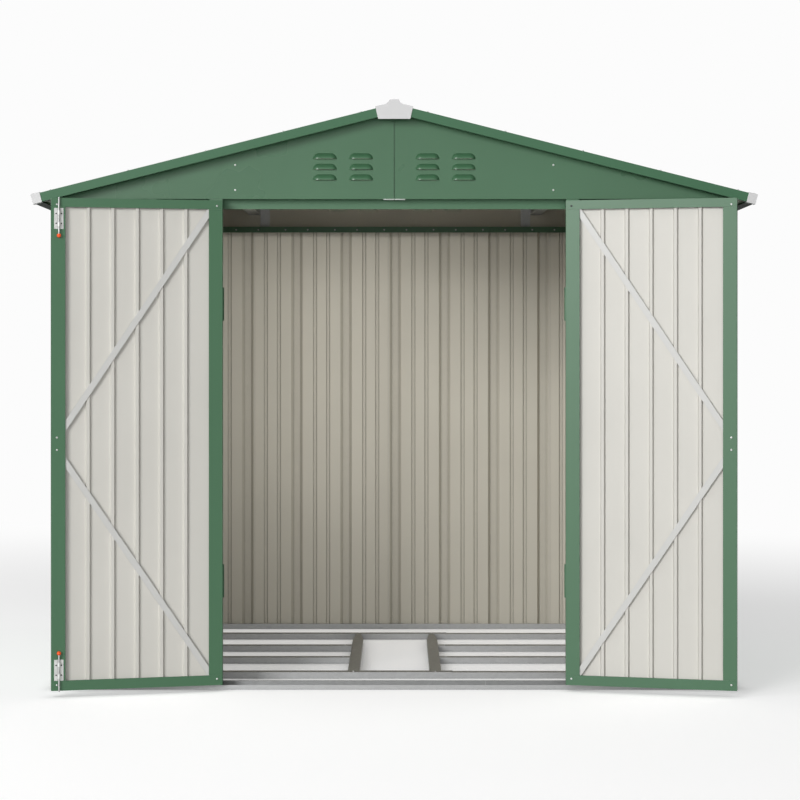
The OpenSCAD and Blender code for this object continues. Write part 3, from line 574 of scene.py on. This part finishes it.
def washer(radius, hole, thickness, steps):
    """Flat washer with a rounded rim."""
    bm = bmesh.new()
    profile = [(hole, 0), (radius, 0), (radius, 0.6), (0.92 * radius, 1), (hole, 1)]
    rings = [ring(bm, r, thickness * z, steps) for r, z in profile]
    for lower, upper in zip(rings, rings[1:] + rings[:1]):
        skin(bm, lower, upper)
    bmesh.ops.recalc_face_normals(bm, faces=bm.faces[:])
    return shape_data(bm)


def seat_on(node, start, direction):
    """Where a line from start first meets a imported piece, with the face's normal."""
    found, place, normal, _ = frame["nodes"][node].ray_cast(Vector(start), Vector(direction).normalized())
    if not found:
        raise RuntimeError(f"a screw misses {node} at {tuple(start)}")
    return place, normal


def copies(name, shape, seats, lift, material, body):
    """One piece with a copy of a form on every seat, lifted off it along its normal."""
    points, faces = shape
    all_points = []
    all_faces = []
    for place, normal in seats:
        turn = normal.to_track_quat("Z", "Y").to_matrix()
        first = len(all_points)
        all_points += [place + normal * lift + turn @ p for p in points]
        all_faces += [[first + i for i in face] for face in faces]
    mesh = bpy.data.meshes.new(name)
    mesh.from_pydata(all_points, [], all_faces)
    mesh.materials.append(material)
    mesh.shade_smooth()
    mesh.set_sharp_from_angle(angle=math.radians(35))
    piece = bpy.data.objects.new(name, mesh)
    bpy.context.collection.objects.link(piece)
    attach(piece, body)
    return piece


def screw_row(name, body, places, washers=True, metal=plated, size=1):
    """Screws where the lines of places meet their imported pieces; places are (node, start, direction)."""
    sizes = bpy.context.scene.shed_sizes
    seats = [seat_on(*place) for place in places]
    lift = 0
    if washers:
        lift = sizes.washer_t
        disc = washer(sizes.washer_r, sizes.head_r * 0.5, sizes.washer_t, sizes.round_steps)
        copies(name + "_washers", disc, seats, 0, washer_plastic(), body)
    head = pan_head(sizes.head_r * size, sizes.head_h * size, sizes.round_steps)
    copies(name + "_screws", head, seats, lift, metal(), body)


def spread(first, last, largest):
    """Even places from first to last, no further apart than the largest step."""
    steps = max(1, math.ceil(abs(last - first) / largest))
    return [first + (last - first) * k / steps for k in range(steps + 1)]


def beside_ribs(reach, shift):
    """Places beside the large ribs of a sheet row, out to a reach on both sides of its middle."""
    sizes = bpy.context.scene.shed_sizes
    count = int(reach / sizes.rib_pitch) + 1
    ribs = [k * sizes.rib_pitch + shift for k in range(-count, count + 1)]
    places = [rib + side * sizes.rib_side for rib in ribs for side in (-1, 1)]
    return [p for p in places if abs(p) < reach]


def leaf_place(side, u, v, z):
    """Place on an open door: u from the hinge axis to the free edge, v inwards, as in the closed door."""
    turn = -DOOR_OPEN
    x = -HINGE_X + u * math.cos(turn) - v * math.sin(turn)
    y = HINGE_Y + u * math.sin(turn) + v * math.cos(turn)
    return Vector((-side * x, y, z))


def leaf_inward(side):
    """Direction that points inwards on the closed door, as it lies on the open one."""
    return Vector((side * math.sin(-DOOR_OPEN), math.cos(-DOOR_OPEN), 0))


class SHED_OT_base_frame(bpy.types.Operator):
    """Finish the base rails, floor frame and purlins, and screw the frame together"""

    bl_idname = "shed.base_frame"
    bl_label = "Base frame and purlins"

    def execute(self, context):
        paint(galvanised(), "base_rail_front", "base_rail_rear", "base_rail_left", "base_rail_right")
        paint(galvanised(), "floor_rails", "floor_stringers", "floor_joists", "purlins", "purlin_brackets")
        corner_x = HALF_W - 30 * MM
        front = FRONT_Y + 35 * MM
        rear = REAR_Y - 35 * MM
        # The two lengths of the front and rear rails meet here, between two screws on each
        joint_x = 305 * MM
        joint_row = (-45 * MM, -15 * MM, 15 * MM, 45 * MM)
        places = []
        for offset in joint_row:
            places.append(("base_rail_front", (joint_x + offset, front, OUT), DOWN))
            places.append(("base_rail_rear", (joint_x + offset, rear, OUT), DOWN))
        for x in (-corner_x, corner_x):
            places.append(("base_rail_front", (x, front, OUT), DOWN))
            places.append(("base_rail_rear", (x, rear, OUT), DOWN))
        # Screws of the floor's rails and joists, at their outer ends and beside the stringers
        end_in = 25 * MM
        edge_in = 20 * MM
        rail_x = 141 * MM
        joist_x = 186 * MM
        low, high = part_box("floor_rails")
        for y in (low.y + edge_in, high.y - edge_in):
            for x in (low.x + end_in, high.x - end_in, -rail_x, rail_x):
                places.append(("floor_rails", (x, y, OUT), DOWN))
        low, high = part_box("floor_joists")
        for y in (low.y + edge_in, high.y - edge_in):
            for x in (low.x + end_in, high.x - end_in, -joist_x, joist_x):
                places.append(("floor_joists", (x, y, OUT), DOWN))
        screw_row("base_frame", "shed", places, washers=False)
        return {"FINISHED"}


class SHED_OT_walls(bpy.types.Operator):
    """Finish the wall sheets, posts, jambs and head rails, and screw them together"""

    bl_idname = "shed.walls"
    bl_label = "Walls, posts and rails"

    def execute(self, context):
        sizes = context.scene.shed_sizes
        cream = context.scene.shed_colours.cream
        # Painted shade deep in the wall sheets' grooves leaves a quarter of the colour
        groove = 0.25
        paint(two_sided("rear_wall", cream, TO_FRONT, groove=groove), "wall_rear")
        paint(two_sided("left_wall", cream, TO_RIGHT, groove=groove), "wall_left")
        paint(two_sided("right_wall", cream, TO_LEFT, groove=groove), "wall_right")
        front_wall = two_sided("front_wall", cream, TO_REAR, groove=groove)
        paint(front_wall, "front_panel_left", "front_panel_right")
        paint(green_coat(), "door_jamb_left", "door_jamb_right", "corner_posts")
        paint(green_coat(), "head_rail_front", "head_rail_rear", "head_rail_left", "head_rail_right")
        head_z = EAVE_Z - 12 * MM
        foot_z = 30 * MM
        corner_in = 60 * MM
        seam_end = 300 * MM
        seam_heights = spread(seam_end, EAVE_Z - seam_end, sizes.seam_pitch)
        # Where the sheets of the rear and side walls lap, from the middle of the wall
        rear_seams = (-600 * MM, 0, 600 * MM)
        side_seams = (-300 * MM, 300 * MM)
        rear_places = []
        rail_places = []
        for x in beside_ribs(HALF_W - corner_in, 0):
            rail_places.append(("head_rail_rear", (x, MID_Y, head_z), TO_REAR))
            rear_places.append(("wall_rear", (x, REAR_Y + OUT, head_z), TO_FRONT))
            rear_places.append(("wall_rear", (x, REAR_Y + OUT, foot_z), TO_FRONT))
        for x in rear_seams:
            for z in seam_heights:
                rear_places.append(("wall_rear", (x, REAR_Y + OUT, z), TO_FRONT))
        screw_row("rear_wall", "shed", rear_places)
        # The rail's screws take the darker rod zinc as a painted shade, so that they stay faint
        screw_row("head_rail", "shed", rail_places, washers=False, metal=rod_steel)
        jamb_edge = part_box("door_jamb_right")[1].x
        jamb_x = jamb_edge - 14 * MM
        panel_x = jamb_edge + 10 * MM
        post_leg = 22 * MM
        for name, side in SIDES:
            places = []
            inwards = (-side, 0, 0)
            outwards = (side, 0, 0)
            outside_x = side * (HALF_W + OUT)
            post_x = side * (HALF_W - post_leg)
            for y in beside_ribs(HALF_DEPTH - corner_in, sizes.rib_pitch / 2):
                places.append(("wall_" + name, (outside_x, MID_Y + y, head_z), inwards))
                places.append(("wall_" + name, (outside_x, MID_Y + y, foot_z), inwards))
                places.append(("head_rail_" + name, (0, MID_Y + y, head_z), outwards))
            for y in side_seams:
                for z in seam_heights:
                    places.append(("wall_" + name, (outside_x, MID_Y + y, z), inwards))
            for x in beside_ribs(HALF_W - corner_in, 0):
                if x > panel_x:
                    places.append(("front_panel_" + name, (side * x, FRONT_Y - OUT, head_z), TO_REAR))
                    places.append(("front_panel_" + name, (side * x, FRONT_Y - OUT, foot_z), TO_REAR))
            for z in spread(corner_in, EAVE_Z - corner_in, sizes.seam_pitch):
                places.append(("corner_posts", (post_x, FRONT_Y - OUT, z), TO_REAR))
                places.append(("corner_posts", (post_x, REAR_Y + OUT, z), TO_FRONT))
                places.append(("corner_posts", (outside_x, FRONT_Y + post_leg, z), inwards))
                places.append(("corner_posts", (outside_x, REAR_Y - post_leg, z), inwards))
                places.append(("door_jamb_" + name, (side * jamb_x, MID_Y, z), TO_FRONT))
            screw_row(name + "_wall", "shed", places)
        return {"FINISHED"}


class SHED_OT_gables(bpy.types.Operator):
    """Finish the louvred gables and the strike plates, and screw the gables to the purlin brackets"""

    bl_idname = "shed.gables"
    bl_label = "Gables"

    def execute(self, context):
        cream = context.scene.shed_colours.cream
        paint(two_sided("front_gable", cream, TO_REAR, roughness=0.28), "gable_front")
        paint(two_sided("rear_gable", cream, TO_FRONT, roughness=0.28), "gable_rear")
        paint(plated(), "strike_plate")
        bracket_x = 527 * MM
        bracket_heights = (1738 * MM, 1655 * MM)
        places = []
        ends = (("gable_front", FRONT_Y - OUT, TO_REAR), ("gable_rear", REAR_Y + OUT, TO_FRONT))
        for node, y, direction in ends:
            for side in (-1, 1):
                for z in bracket_heights:
                    places.append((node, (side * bracket_x, y, z), direction))
        screw_row("gable", "shed", places, washers=False)
        return {"FINISHED"}


class SHED_OT_roof(bpy.types.Operator):
    """Finish the roof sheets, trims, ridge and moulded caps, and screw them down"""

    bl_idname = "shed.roof"
    bl_label = "Roof"

    def execute(self, context):
        colours = context.scene.shed_colours
        sizes = context.scene.shed_sizes
        caps = finish(
            "moulded_polypropylene_grey", moulded_plastic, colour=colours.caps[:], roughness=0.5,
            grain_mm=3, ior=1.49,
        )
        paint(two_sided("roof", colours.cream, DOWN), "roof_left", "roof_right")
        paint(trim_coat(), "ridge_cap", "verge_trim_front", "verge_trim_rear")
        for name, side in SIDES:
            under = (-side * math.sin(ROOF_PITCH), 0, -math.cos(ROOF_PITCH))
            # The eave trims' undersides take a near-black painted shade in place of their green coat
            eave_trim = finish(
                "polyester_coated_steel_eave_" + name, coated_steel, colour=colours.trim[:], roughness=0.5,
                specular=0.3, inside=colours.painted_eave_shade[:], inside_roughness=0.6, inward=under,
            )
            paint(eave_trim, "eave_trim_" + name)
        paint(caps, "ridge_ends", "corner_caps")
        above = RIDGE_Z + OUT
        verge_in = 14 * MM
        verge_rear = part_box("verge_trim_rear")[1].y
        eave_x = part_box("eave_trim_right")[1].x
        eave_in = 20 * MM
        ridge_x = 48 * MM
        purlin_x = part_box("purlins")[1].x - 23 * MM
        verge_steps = spread(110 * MM, eave_x - 60 * MM, 270 * MM)
        ribs = [MID_Y + k * sizes.rib_pitch for k in range(-4, 5)]
        places = []
        for name, side in SIDES:
            for x in verge_steps:
                places.append(("verge_trim_front", (side * x, VERGE_Y + verge_in, above), DOWN))
                places.append(("verge_trim_rear", (side * x, verge_rear - verge_in, above), DOWN))
            for y in ribs:
                places.append(("eave_trim_" + name, (side * (eave_x - eave_in), y, above), DOWN))
                places.append(("ridge_cap", (side * ridge_x, y, above), DOWN))
                places.append(("roof_" + name, (side * purlin_x, y, above), DOWN))
        screw_row("roof", "shed", places)
        return {"FINISHED"}


class SHED_OT_doors(bpy.types.Operator):
    """Finish the doors and screw their frames together"""

    bl_idname = "shed.doors"
    bl_label = "Doors"

    def execute(self, context):
        door_cream = context.scene.shed_colours.door_cream
        # Screws stand this far in from the edges of the frame, which runs from low_u to free_u
        edge = 18 * MM
        low_u = 5 * MM
        free_u = HINGE_X - 3 * MM
        hinge_side = low_u + edge
        free_side = free_u - edge
        # Inner face: both ends of the bottom rail, the free end of the top rail, a pair by the braces' ends
        inner = (
            (hinge_side, DOOR_BOTTOM + 21 * MM), (free_side, DOOR_BOTTOM + 19 * MM),
            (free_side, DOOR_TOP - 21 * MM), (free_side, 841 * MM), (free_side, 801 * MM),
        )
        outer_heights = spread(DOOR_BOTTOM + edge, DOOR_TOP - edge, 420 * MM)
        for name, side in SIDES:
            inward = leaf_inward(side)
            node = name + "_door_frame"
            # The inside of the door sheets is the cream coat with a painted sheen in its colour
            paint(two_sided(name + "_door", door_cream, inward), name + "_door_panel")
            paint(green_coat(), node)
            paint(brace_coat(), name + "_door_braces")
            hinge_corner = (node, leaf_place(side, hinge_side, OUT, DOOR_TOP - edge), -inward)
            # One corner screw of the right door is drawn in the near-black steel
            screw_row(
                name + "_door_corner", name + "_door", [hinge_corner], washers=False,
                metal=plated if name == "left" else blackened,
            )
            places = []
            for u, z in inner:
                places.append((node, leaf_place(side, u, OUT, z), -inward))
            for u in (hinge_side, free_side):
                for z in outer_heights:
                    places.append((node, leaf_place(side, u, -OUT, z), inward))
            screw_row(name + "_door", name + "_door", places, washers=False)
        return {"FINISHED"}


class SHED_OT_hinges(bpy.types.Operator):
    """Finish the hinges and screw their leaves on"""

    bl_idname = "shed.hinges"
    bl_label = "Hinges"

    def execute(self, context):
        # The lines of these screws start between the open door and the front wall
        near = 9 * MM
        screw_u = 24 * MM
        half_hinge = 55 * MM
        reach = 40 * MM
        for name, side in SIDES:
            jamb = "jamb_hinges_" + name
            leaf = name + "_door_hinges"
            paint(green_coat(), jamb, leaf)
            low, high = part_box(jamb)
            jamb_places = []
            leaf_places = []
            for centre in (low.z + half_hinge, high.z - half_hinge):
                for z in (centre - reach, centre + reach):
                    jamb_start = (side * (HINGE_X + screw_u), FRONT_Y - near, z)
                    jamb_places.append((jamb, jamb_start, TO_REAR))
                    leaf_places.append((leaf, leaf_place(side, screw_u, -near, z), leaf_inward(side)))
            screw_row(name + "_jamb_hinge", "shed", jamb_places, washers=False)
            screw_row(name + "_door_hinge", name + "_door", leaf_places, washers=False)
        return {"FINISHED"}


class SHED_OT_bolts(bpy.types.Operator):
    """Finish the barrel bolts and rivet their guides on"""

    bl_idname = "shed.bolts"
    bl_label = "Bolts"

    def execute(self, context):
        colours = context.scene.shed_colours
        knobs = finish(
            "moulded_abs_orange", moulded_plastic, colour=colours.knobs[:], roughness=0.4, grain_mm=2,
            ior=1.54,
        )
        guides = finish(
            "zinc_plated_pressed_steel", plated_steel, colour=colours.plated[:], roughness=0.62
        )
        paint(guides, "bolt_guides")
        paint(rod_steel(), "top_bolt_rod", "bottom_bolt_rod")
        paint(knobs, "top_bolt_knob", "bottom_bolt_knob")
        inward = leaf_inward(-1)
        bolt_u = HINGE_X - 27 * MM
        rivet_u = 8.5 * MM
        outer_end = 18 * MM
        inner_end = 50 * MM
        places = []
        low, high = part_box("bolt_guides")
        for z in (low.z + outer_end, low.z + inner_end, high.z - outer_end, high.z - inner_end):
            for u in (bolt_u - rivet_u, bolt_u + rivet_u):
                places.append(("bolt_guides", leaf_place(-1, u, OUT, z), -inward))
        screw_row("bolt_guide", "left_door", places, washers=False, metal=blackened, size=0.7)
        return {"FINISHED"}


class SHED_OT_handle(bpy.types.Operator):
    """Finish the pull handle"""

    bl_idname = "shed.handle"
    bl_label = "Handle"

    def execute(self, context):
        black = context.scene.shed_colours.handle[:]
        nylon = finish(
            "moulded_nylon_black", moulded_plastic, colour=black, roughness=0.45, grain_mm=2, ior=1.53
        )
        paint(nylon, "door_handle")
        return {"FINISHED"}


class SHED_OT_studio(bpy.types.Operator):
    """Set up the floor, light and camera"""

    bl_idname = "shed.studio"
    bl_label = "Studio"

    def execute(self, context):
        studio = context.scene.shed_studio
        context.scene.view_settings.view_transform = "Standard"
        self.make_world(context, studio)
        self.make_floor(context, studio)
        self.aim_softbox(context, studio, "key", mirrored=True)
        self.aim_softbox(context, studio, "fill")
        self.aim_softbox(context, studio, "top")
        self.aim_softbox(context, studio, "right", studio.right_spread)
        self.aim_softbox(context, studio, "back", studio.back_spread)
        self.make_doorway_lamp(context, studio)
        self.make_flags(context, studio)
        self.make_camera(context, studio)
        return {"FINISHED"}

    def seen(self, tree):
        """One for rays that show the backdrop itself: camera, glossy and transmission rays."""
        path = add_node(tree, "ShaderNodeLightPath")
        mirror = add_node(
            tree, "ShaderNodeMath",
            {0: path.outputs["Is Glossy Ray"], 1: path.outputs["Is Transmission Ray"]}, operation="MAXIMUM",
        )
        return add_node(
            tree, "ShaderNodeMath",
            {0: path.outputs["Is Camera Ray"], 1: mirror.outputs[0]}, operation="MAXIMUM",
        )

    def make_world(self, context, studio):
        """Even light from all round, which shows as the backdrop."""
        world = bpy.data.worlds.new("studio")
        world.use_nodes = True
        tree = world.node_tree
        tree.nodes.clear()
        light = add_node(tree, "ShaderNodeBackground", {"Color": (1, 1, 1, 1), "Strength": studio.ambient})
        show = add_node(tree, "ShaderNodeBackground", {"Color": studio.backdrop[:], "Strength": 1.0})
        mix = add_node(
            tree, "ShaderNodeMixShader",
            {0: self.seen(tree).outputs[0], 1: light.outputs[0], 2: show.outputs[0]},
        )
        add_node(tree, "ShaderNodeOutputWorld", {"Surface": mix.outputs[0]})
        context.scene.world = world

    def make_floor(self, context, studio):
        """A round floor, far wider than the picture and a little below the base rails."""
        bm = bmesh.new()
        bmesh.ops.create_circle(bm, cap_ends=True, segments=96, radius=80)
        mesh = bpy.data.meshes.new("studio_floor")
        bm.to_mesh(mesh)
        bm.free()
        floor = bpy.data.objects.new("studio_floor", mesh)
        floor.location.z = -0.5 * MM
        context.collection.objects.link(floor)
        mesh.materials.append(self.floor_paint(studio))

    def floor_paint(self, studio):
        """Matt paint that takes the shed's shadow and turns into the backdrop further off."""
        material, tree = new_tree("studio_floor_matt_paint")
        place = add_node(tree, "ShaderNodeTexCoord")
        distance = add_node(
            tree, "ShaderNodeVectorMath", {0: place.outputs["Object"], 1: (-studio.fade_side, 0, 0)},
            operation="DISTANCE",
        )
        far = add_node(
            tree, "ShaderNodeMapRange",
            {
                "Value": distance.outputs["Value"], "From Min": studio.fade_start,
                "From Max": studio.fade_end,
            },
            interpolation_type="SMOOTHSTEP",
        )
        seen = self.seen(tree)
        floor_colour = add_node(
            tree, "ShaderNodeMix",
            {"Factor": seen.outputs[0], COLOUR_A: studio.bounce[:], COLOUR_B: studio.floor[:]},
            data_type="RGBA",
        )
        matt = add_node(tree, "ShaderNodeBsdfDiffuse", {"Color": floor_colour.outputs[2]})
        # Painted shade on the floor: the lift is less between the walls, and fades out where the shed stands
        # close to the floor
        axes = add_node(tree, "ShaderNodeSeparateXYZ", {0: place.outputs["Object"]})
        across = add_node(
            tree, "ShaderNodeMath", {0: axes.outputs["X"], 1: 0, 2: HALF_W}, operation="COMPARE"
        )
        along = add_node(
            tree, "ShaderNodeMath", {0: axes.outputs["Y"], 1: MID_Y, 2: HALF_DEPTH}, operation="COMPARE"
        )
        inside = add_node(
            tree, "ShaderNodeMath", {0: across.outputs[0], 1: along.outputs[0]}, operation="MULTIPLY"
        )
        lift_here = add_node(
            tree, "ShaderNodeMapRange",
            {
                "Value": inside.outputs[0], "To Min": studio.floor_lift,
                "To Max": studio.floor_lift - studio.inside_shade,
            },
        )
        open_sky = add_node(
            tree, "ShaderNodeAmbientOcclusion", {"Distance": studio.shade_reach}, samples=4
        )
        shaded_lift = add_node(
            tree, "ShaderNodeMath",
            {0: open_sky.outputs["AO"], 1: lift_here.outputs["Result"]}, operation="MULTIPLY",
        )
        lift_strength = add_node(
            tree, "ShaderNodeMath", {0: seen.outputs[0], 1: shaded_lift.outputs[0]}, operation="MULTIPLY"
        )
        lift = add_node(tree, "ShaderNodeEmission", {"Strength": lift_strength.outputs[0]})
        near = add_node(tree, "ShaderNodeAddShader", {0: matt.outputs[0], 1: lift.outputs[0]})
        backdrop = add_node(tree, "ShaderNodeEmission", {"Color": studio.backdrop[:], "Strength": 1.0})
        fade = add_node(
            tree, "ShaderNodeMath", {0: far.outputs["Result"], 1: seen.outputs[0]}, operation="MULTIPLY"
        )
        whole = add_node(
            tree, "ShaderNodeMixShader", {0: fade.outputs[0], 1: near.outputs[0], 2: backdrop.outputs[0]}
        )
        finish_tree(tree, whole)
        return material

    def add_softbox(self, context, name, size, power, spread, mirrored):
        """A lamp that the camera doesn't see; a mirrored one shows in the gloss of the finishes."""
        data = bpy.data.lights.new(name, "AREA")
        data.shape = "RECTANGLE"
        data.size = size[0]
        data.size_y = size[1]
        data.energy = power
        data.spread = spread
        lamp = bpy.data.objects.new(name, data)
        lamp.visible_camera = False
        lamp.visible_glossy = mirrored
        context.collection.objects.link(lamp)
        return lamp

    def aim_softbox(self, context, studio, light, spread=math.pi, mirrored=False):
        """A softbox that faces the shed, at a turn to the left of the front and a rise above level."""
        turn = getattr(studio, light + "_turn")
        rise = getattr(studio, light + "_rise")
        distance = getattr(studio, light + "_distance")
        size = (getattr(studio, light + "_width"), getattr(studio, light + "_height"))
        power = getattr(studio, light + "_power")
        lamp = self.add_softbox(context, light + "_softbox", size, power, spread, mirrored)
        aim_z = 1.0
        target = Vector((0, FRONT_Y, aim_z))
        level = math.cos(rise)
        direction = Vector((-math.sin(turn) * level, -math.cos(turn) * level, math.sin(rise)))
        lamp.location = target + direction * distance
        lamp.rotation_euler = direction.to_track_quat("Z", "Y").to_euler()

    def make_doorway_lamp(self, context, studio):
        """A softbox with a grid, which faces inwards from between the jambs."""
        size = (studio.doorway_width, studio.doorway_height)
        lamp = self.add_softbox(
            context, "doorway_softbox", size, studio.doorway_power, studio.doorway_spread, mirrored=False
        )
        lamp.location = (studio.doorway_side, FRONT_Y + studio.doorway_in, studio.doorway_z)
        lamp.rotation_euler = (math.pi / 2 - studio.doorway_tilt, 0, 0)

    def make_flags(self, context, studio):
        """Dark screens that shade the scene and give the gloss something dark to mirror."""
        self.make_flag(
            context, studio, "right_flag", place=(6.0, -1.0, 2.5), turn=(0, -math.pi / 2, 0),
            size=(5.0, 14.0),
        )
        self.make_flag(
            context, studio, "top_flag", place=(0, -1.0, 10.0), turn=(math.pi, 0, 0), size=(22.0, 22.0)
        )
        # Only mirrored, so it keeps no light off the back
        rear_flag = self.make_flag(
            context, studio, "rear_flag", place=(0, 6.0, 1.6), turn=(math.pi / 2, 0, 0), size=(16.0, 3.2)
        )
        rear_flag.visible_diffuse = False
        rear_flag.visible_shadow = False
        # Only a shade, which keeps the doorway light off the rear gable
        ceiling_flag = self.make_flag(
            context, studio, "ceiling_flag", place=(0, MID_Y + 0.3, EAVE_Z - 46 * MM), turn=(0, 0, 0),
            size=(2 * HALF_W - 0.1, 0.9),
        )
        ceiling_flag.visible_diffuse = False
        ceiling_flag.visible_glossy = False

    def make_flag(self, context, studio, name, place, turn, size):
        """A screen of black felt that the camera doesn't see."""
        bm = bmesh.new()
        bmesh.ops.create_grid(bm, x_segments=1, y_segments=1, size=0.5)
        mesh = bpy.data.meshes.new(name)
        bm.to_mesh(mesh)
        bm.free()
        material, tree = new_tree(name + "_black_felt")
        felt = add_node(tree, "ShaderNodeBsdfDiffuse", {"Color": studio.felt[:], "Roughness": 1.0})
        finish_tree(tree, felt)
        mesh.materials.append(material)
        flag = bpy.data.objects.new(name, mesh)
        flag.location = place
        flag.rotation_euler = turn
        flag.scale = (*size, 1)
        flag.visible_camera = False
        context.collection.objects.link(flag)
        return flag

    def make_camera(self, context, studio):
        """A level camera in front of the shed."""
        data = bpy.data.cameras.new("camera")
        data.lens = 100
        data.sensor_width = 36
        data.shift_y = studio.camera_shift
        camera = bpy.data.objects.new("camera", data)
        camera.location = (studio.camera_side, FRONT_Y - studio.camera_distance, studio.camera_height)
        camera.rotation_euler = (math.pi / 2, 0, 0)
        context.collection.objects.link(camera)
        context.scene.camera = camera


class SHED_PT_panel(bpy.types.Panel):
    """Colours, sizes and steps of the shed"""

    bl_label = "Metal storage shed"
    bl_idname = "SHED_PT_panel"
    bl_space_type = "VIEW_3D"
    bl_region_type = "UI"
    bl_category = "Shed"

    def draw(self, context):
        for group in (context.scene.shed_colours, context.scene.shed_sizes, context.scene.shed_studio):
            box = self.layout.box()
            for name in group.bl_rna.properties.keys():
                if name not in {"rna_type", "name"}:
                    box.prop(group, name)
        for operator in OPERATORS:
            self.layout.operator(operator.bl_idname)


GROUPS = (ShedColours, ShedSizes, ShedStudio)
OPERATORS = (
    SHED_OT_base_frame,
    SHED_OT_walls,
    SHED_OT_gables,
    SHED_OT_roof,
    SHED_OT_doors,
    SHED_OT_hinges,
    SHED_OT_bolts,
    SHED_OT_handle,
    SHED_OT_studio,
)


def register():
    for cls in (*GROUPS, *OPERATORS, SHED_PT_panel):
        bpy.utils.register_class(cls)
    bpy.types.Scene.shed_colours = PointerProperty(type=ShedColours)
    bpy.types.Scene.shed_sizes = PointerProperty(type=ShedSizes)
    bpy.types.Scene.shed_studio = PointerProperty(type=ShedStudio)


def unregister():
    del bpy.types.Scene.shed_studio
    del bpy.types.Scene.shed_sizes
    del bpy.types.Scene.shed_colours
    for cls in (SHED_PT_panel, *reversed(OPERATORS), *reversed(GROUPS)):
        bpy.utils.unregister_class(cls)


def main():
    register()
    bpy.ops.shed.base_frame()
    bpy.ops.shed.walls()
    bpy.ops.shed.gables()
    bpy.ops.shed.roof()
    bpy.ops.shed.doors()
    bpy.ops.shed.hinges()
    bpy.ops.shed.bolts()
    bpy.ops.shed.handle()
    bpy.ops.shed.studio()


if __name__ == "__main__":
    main()
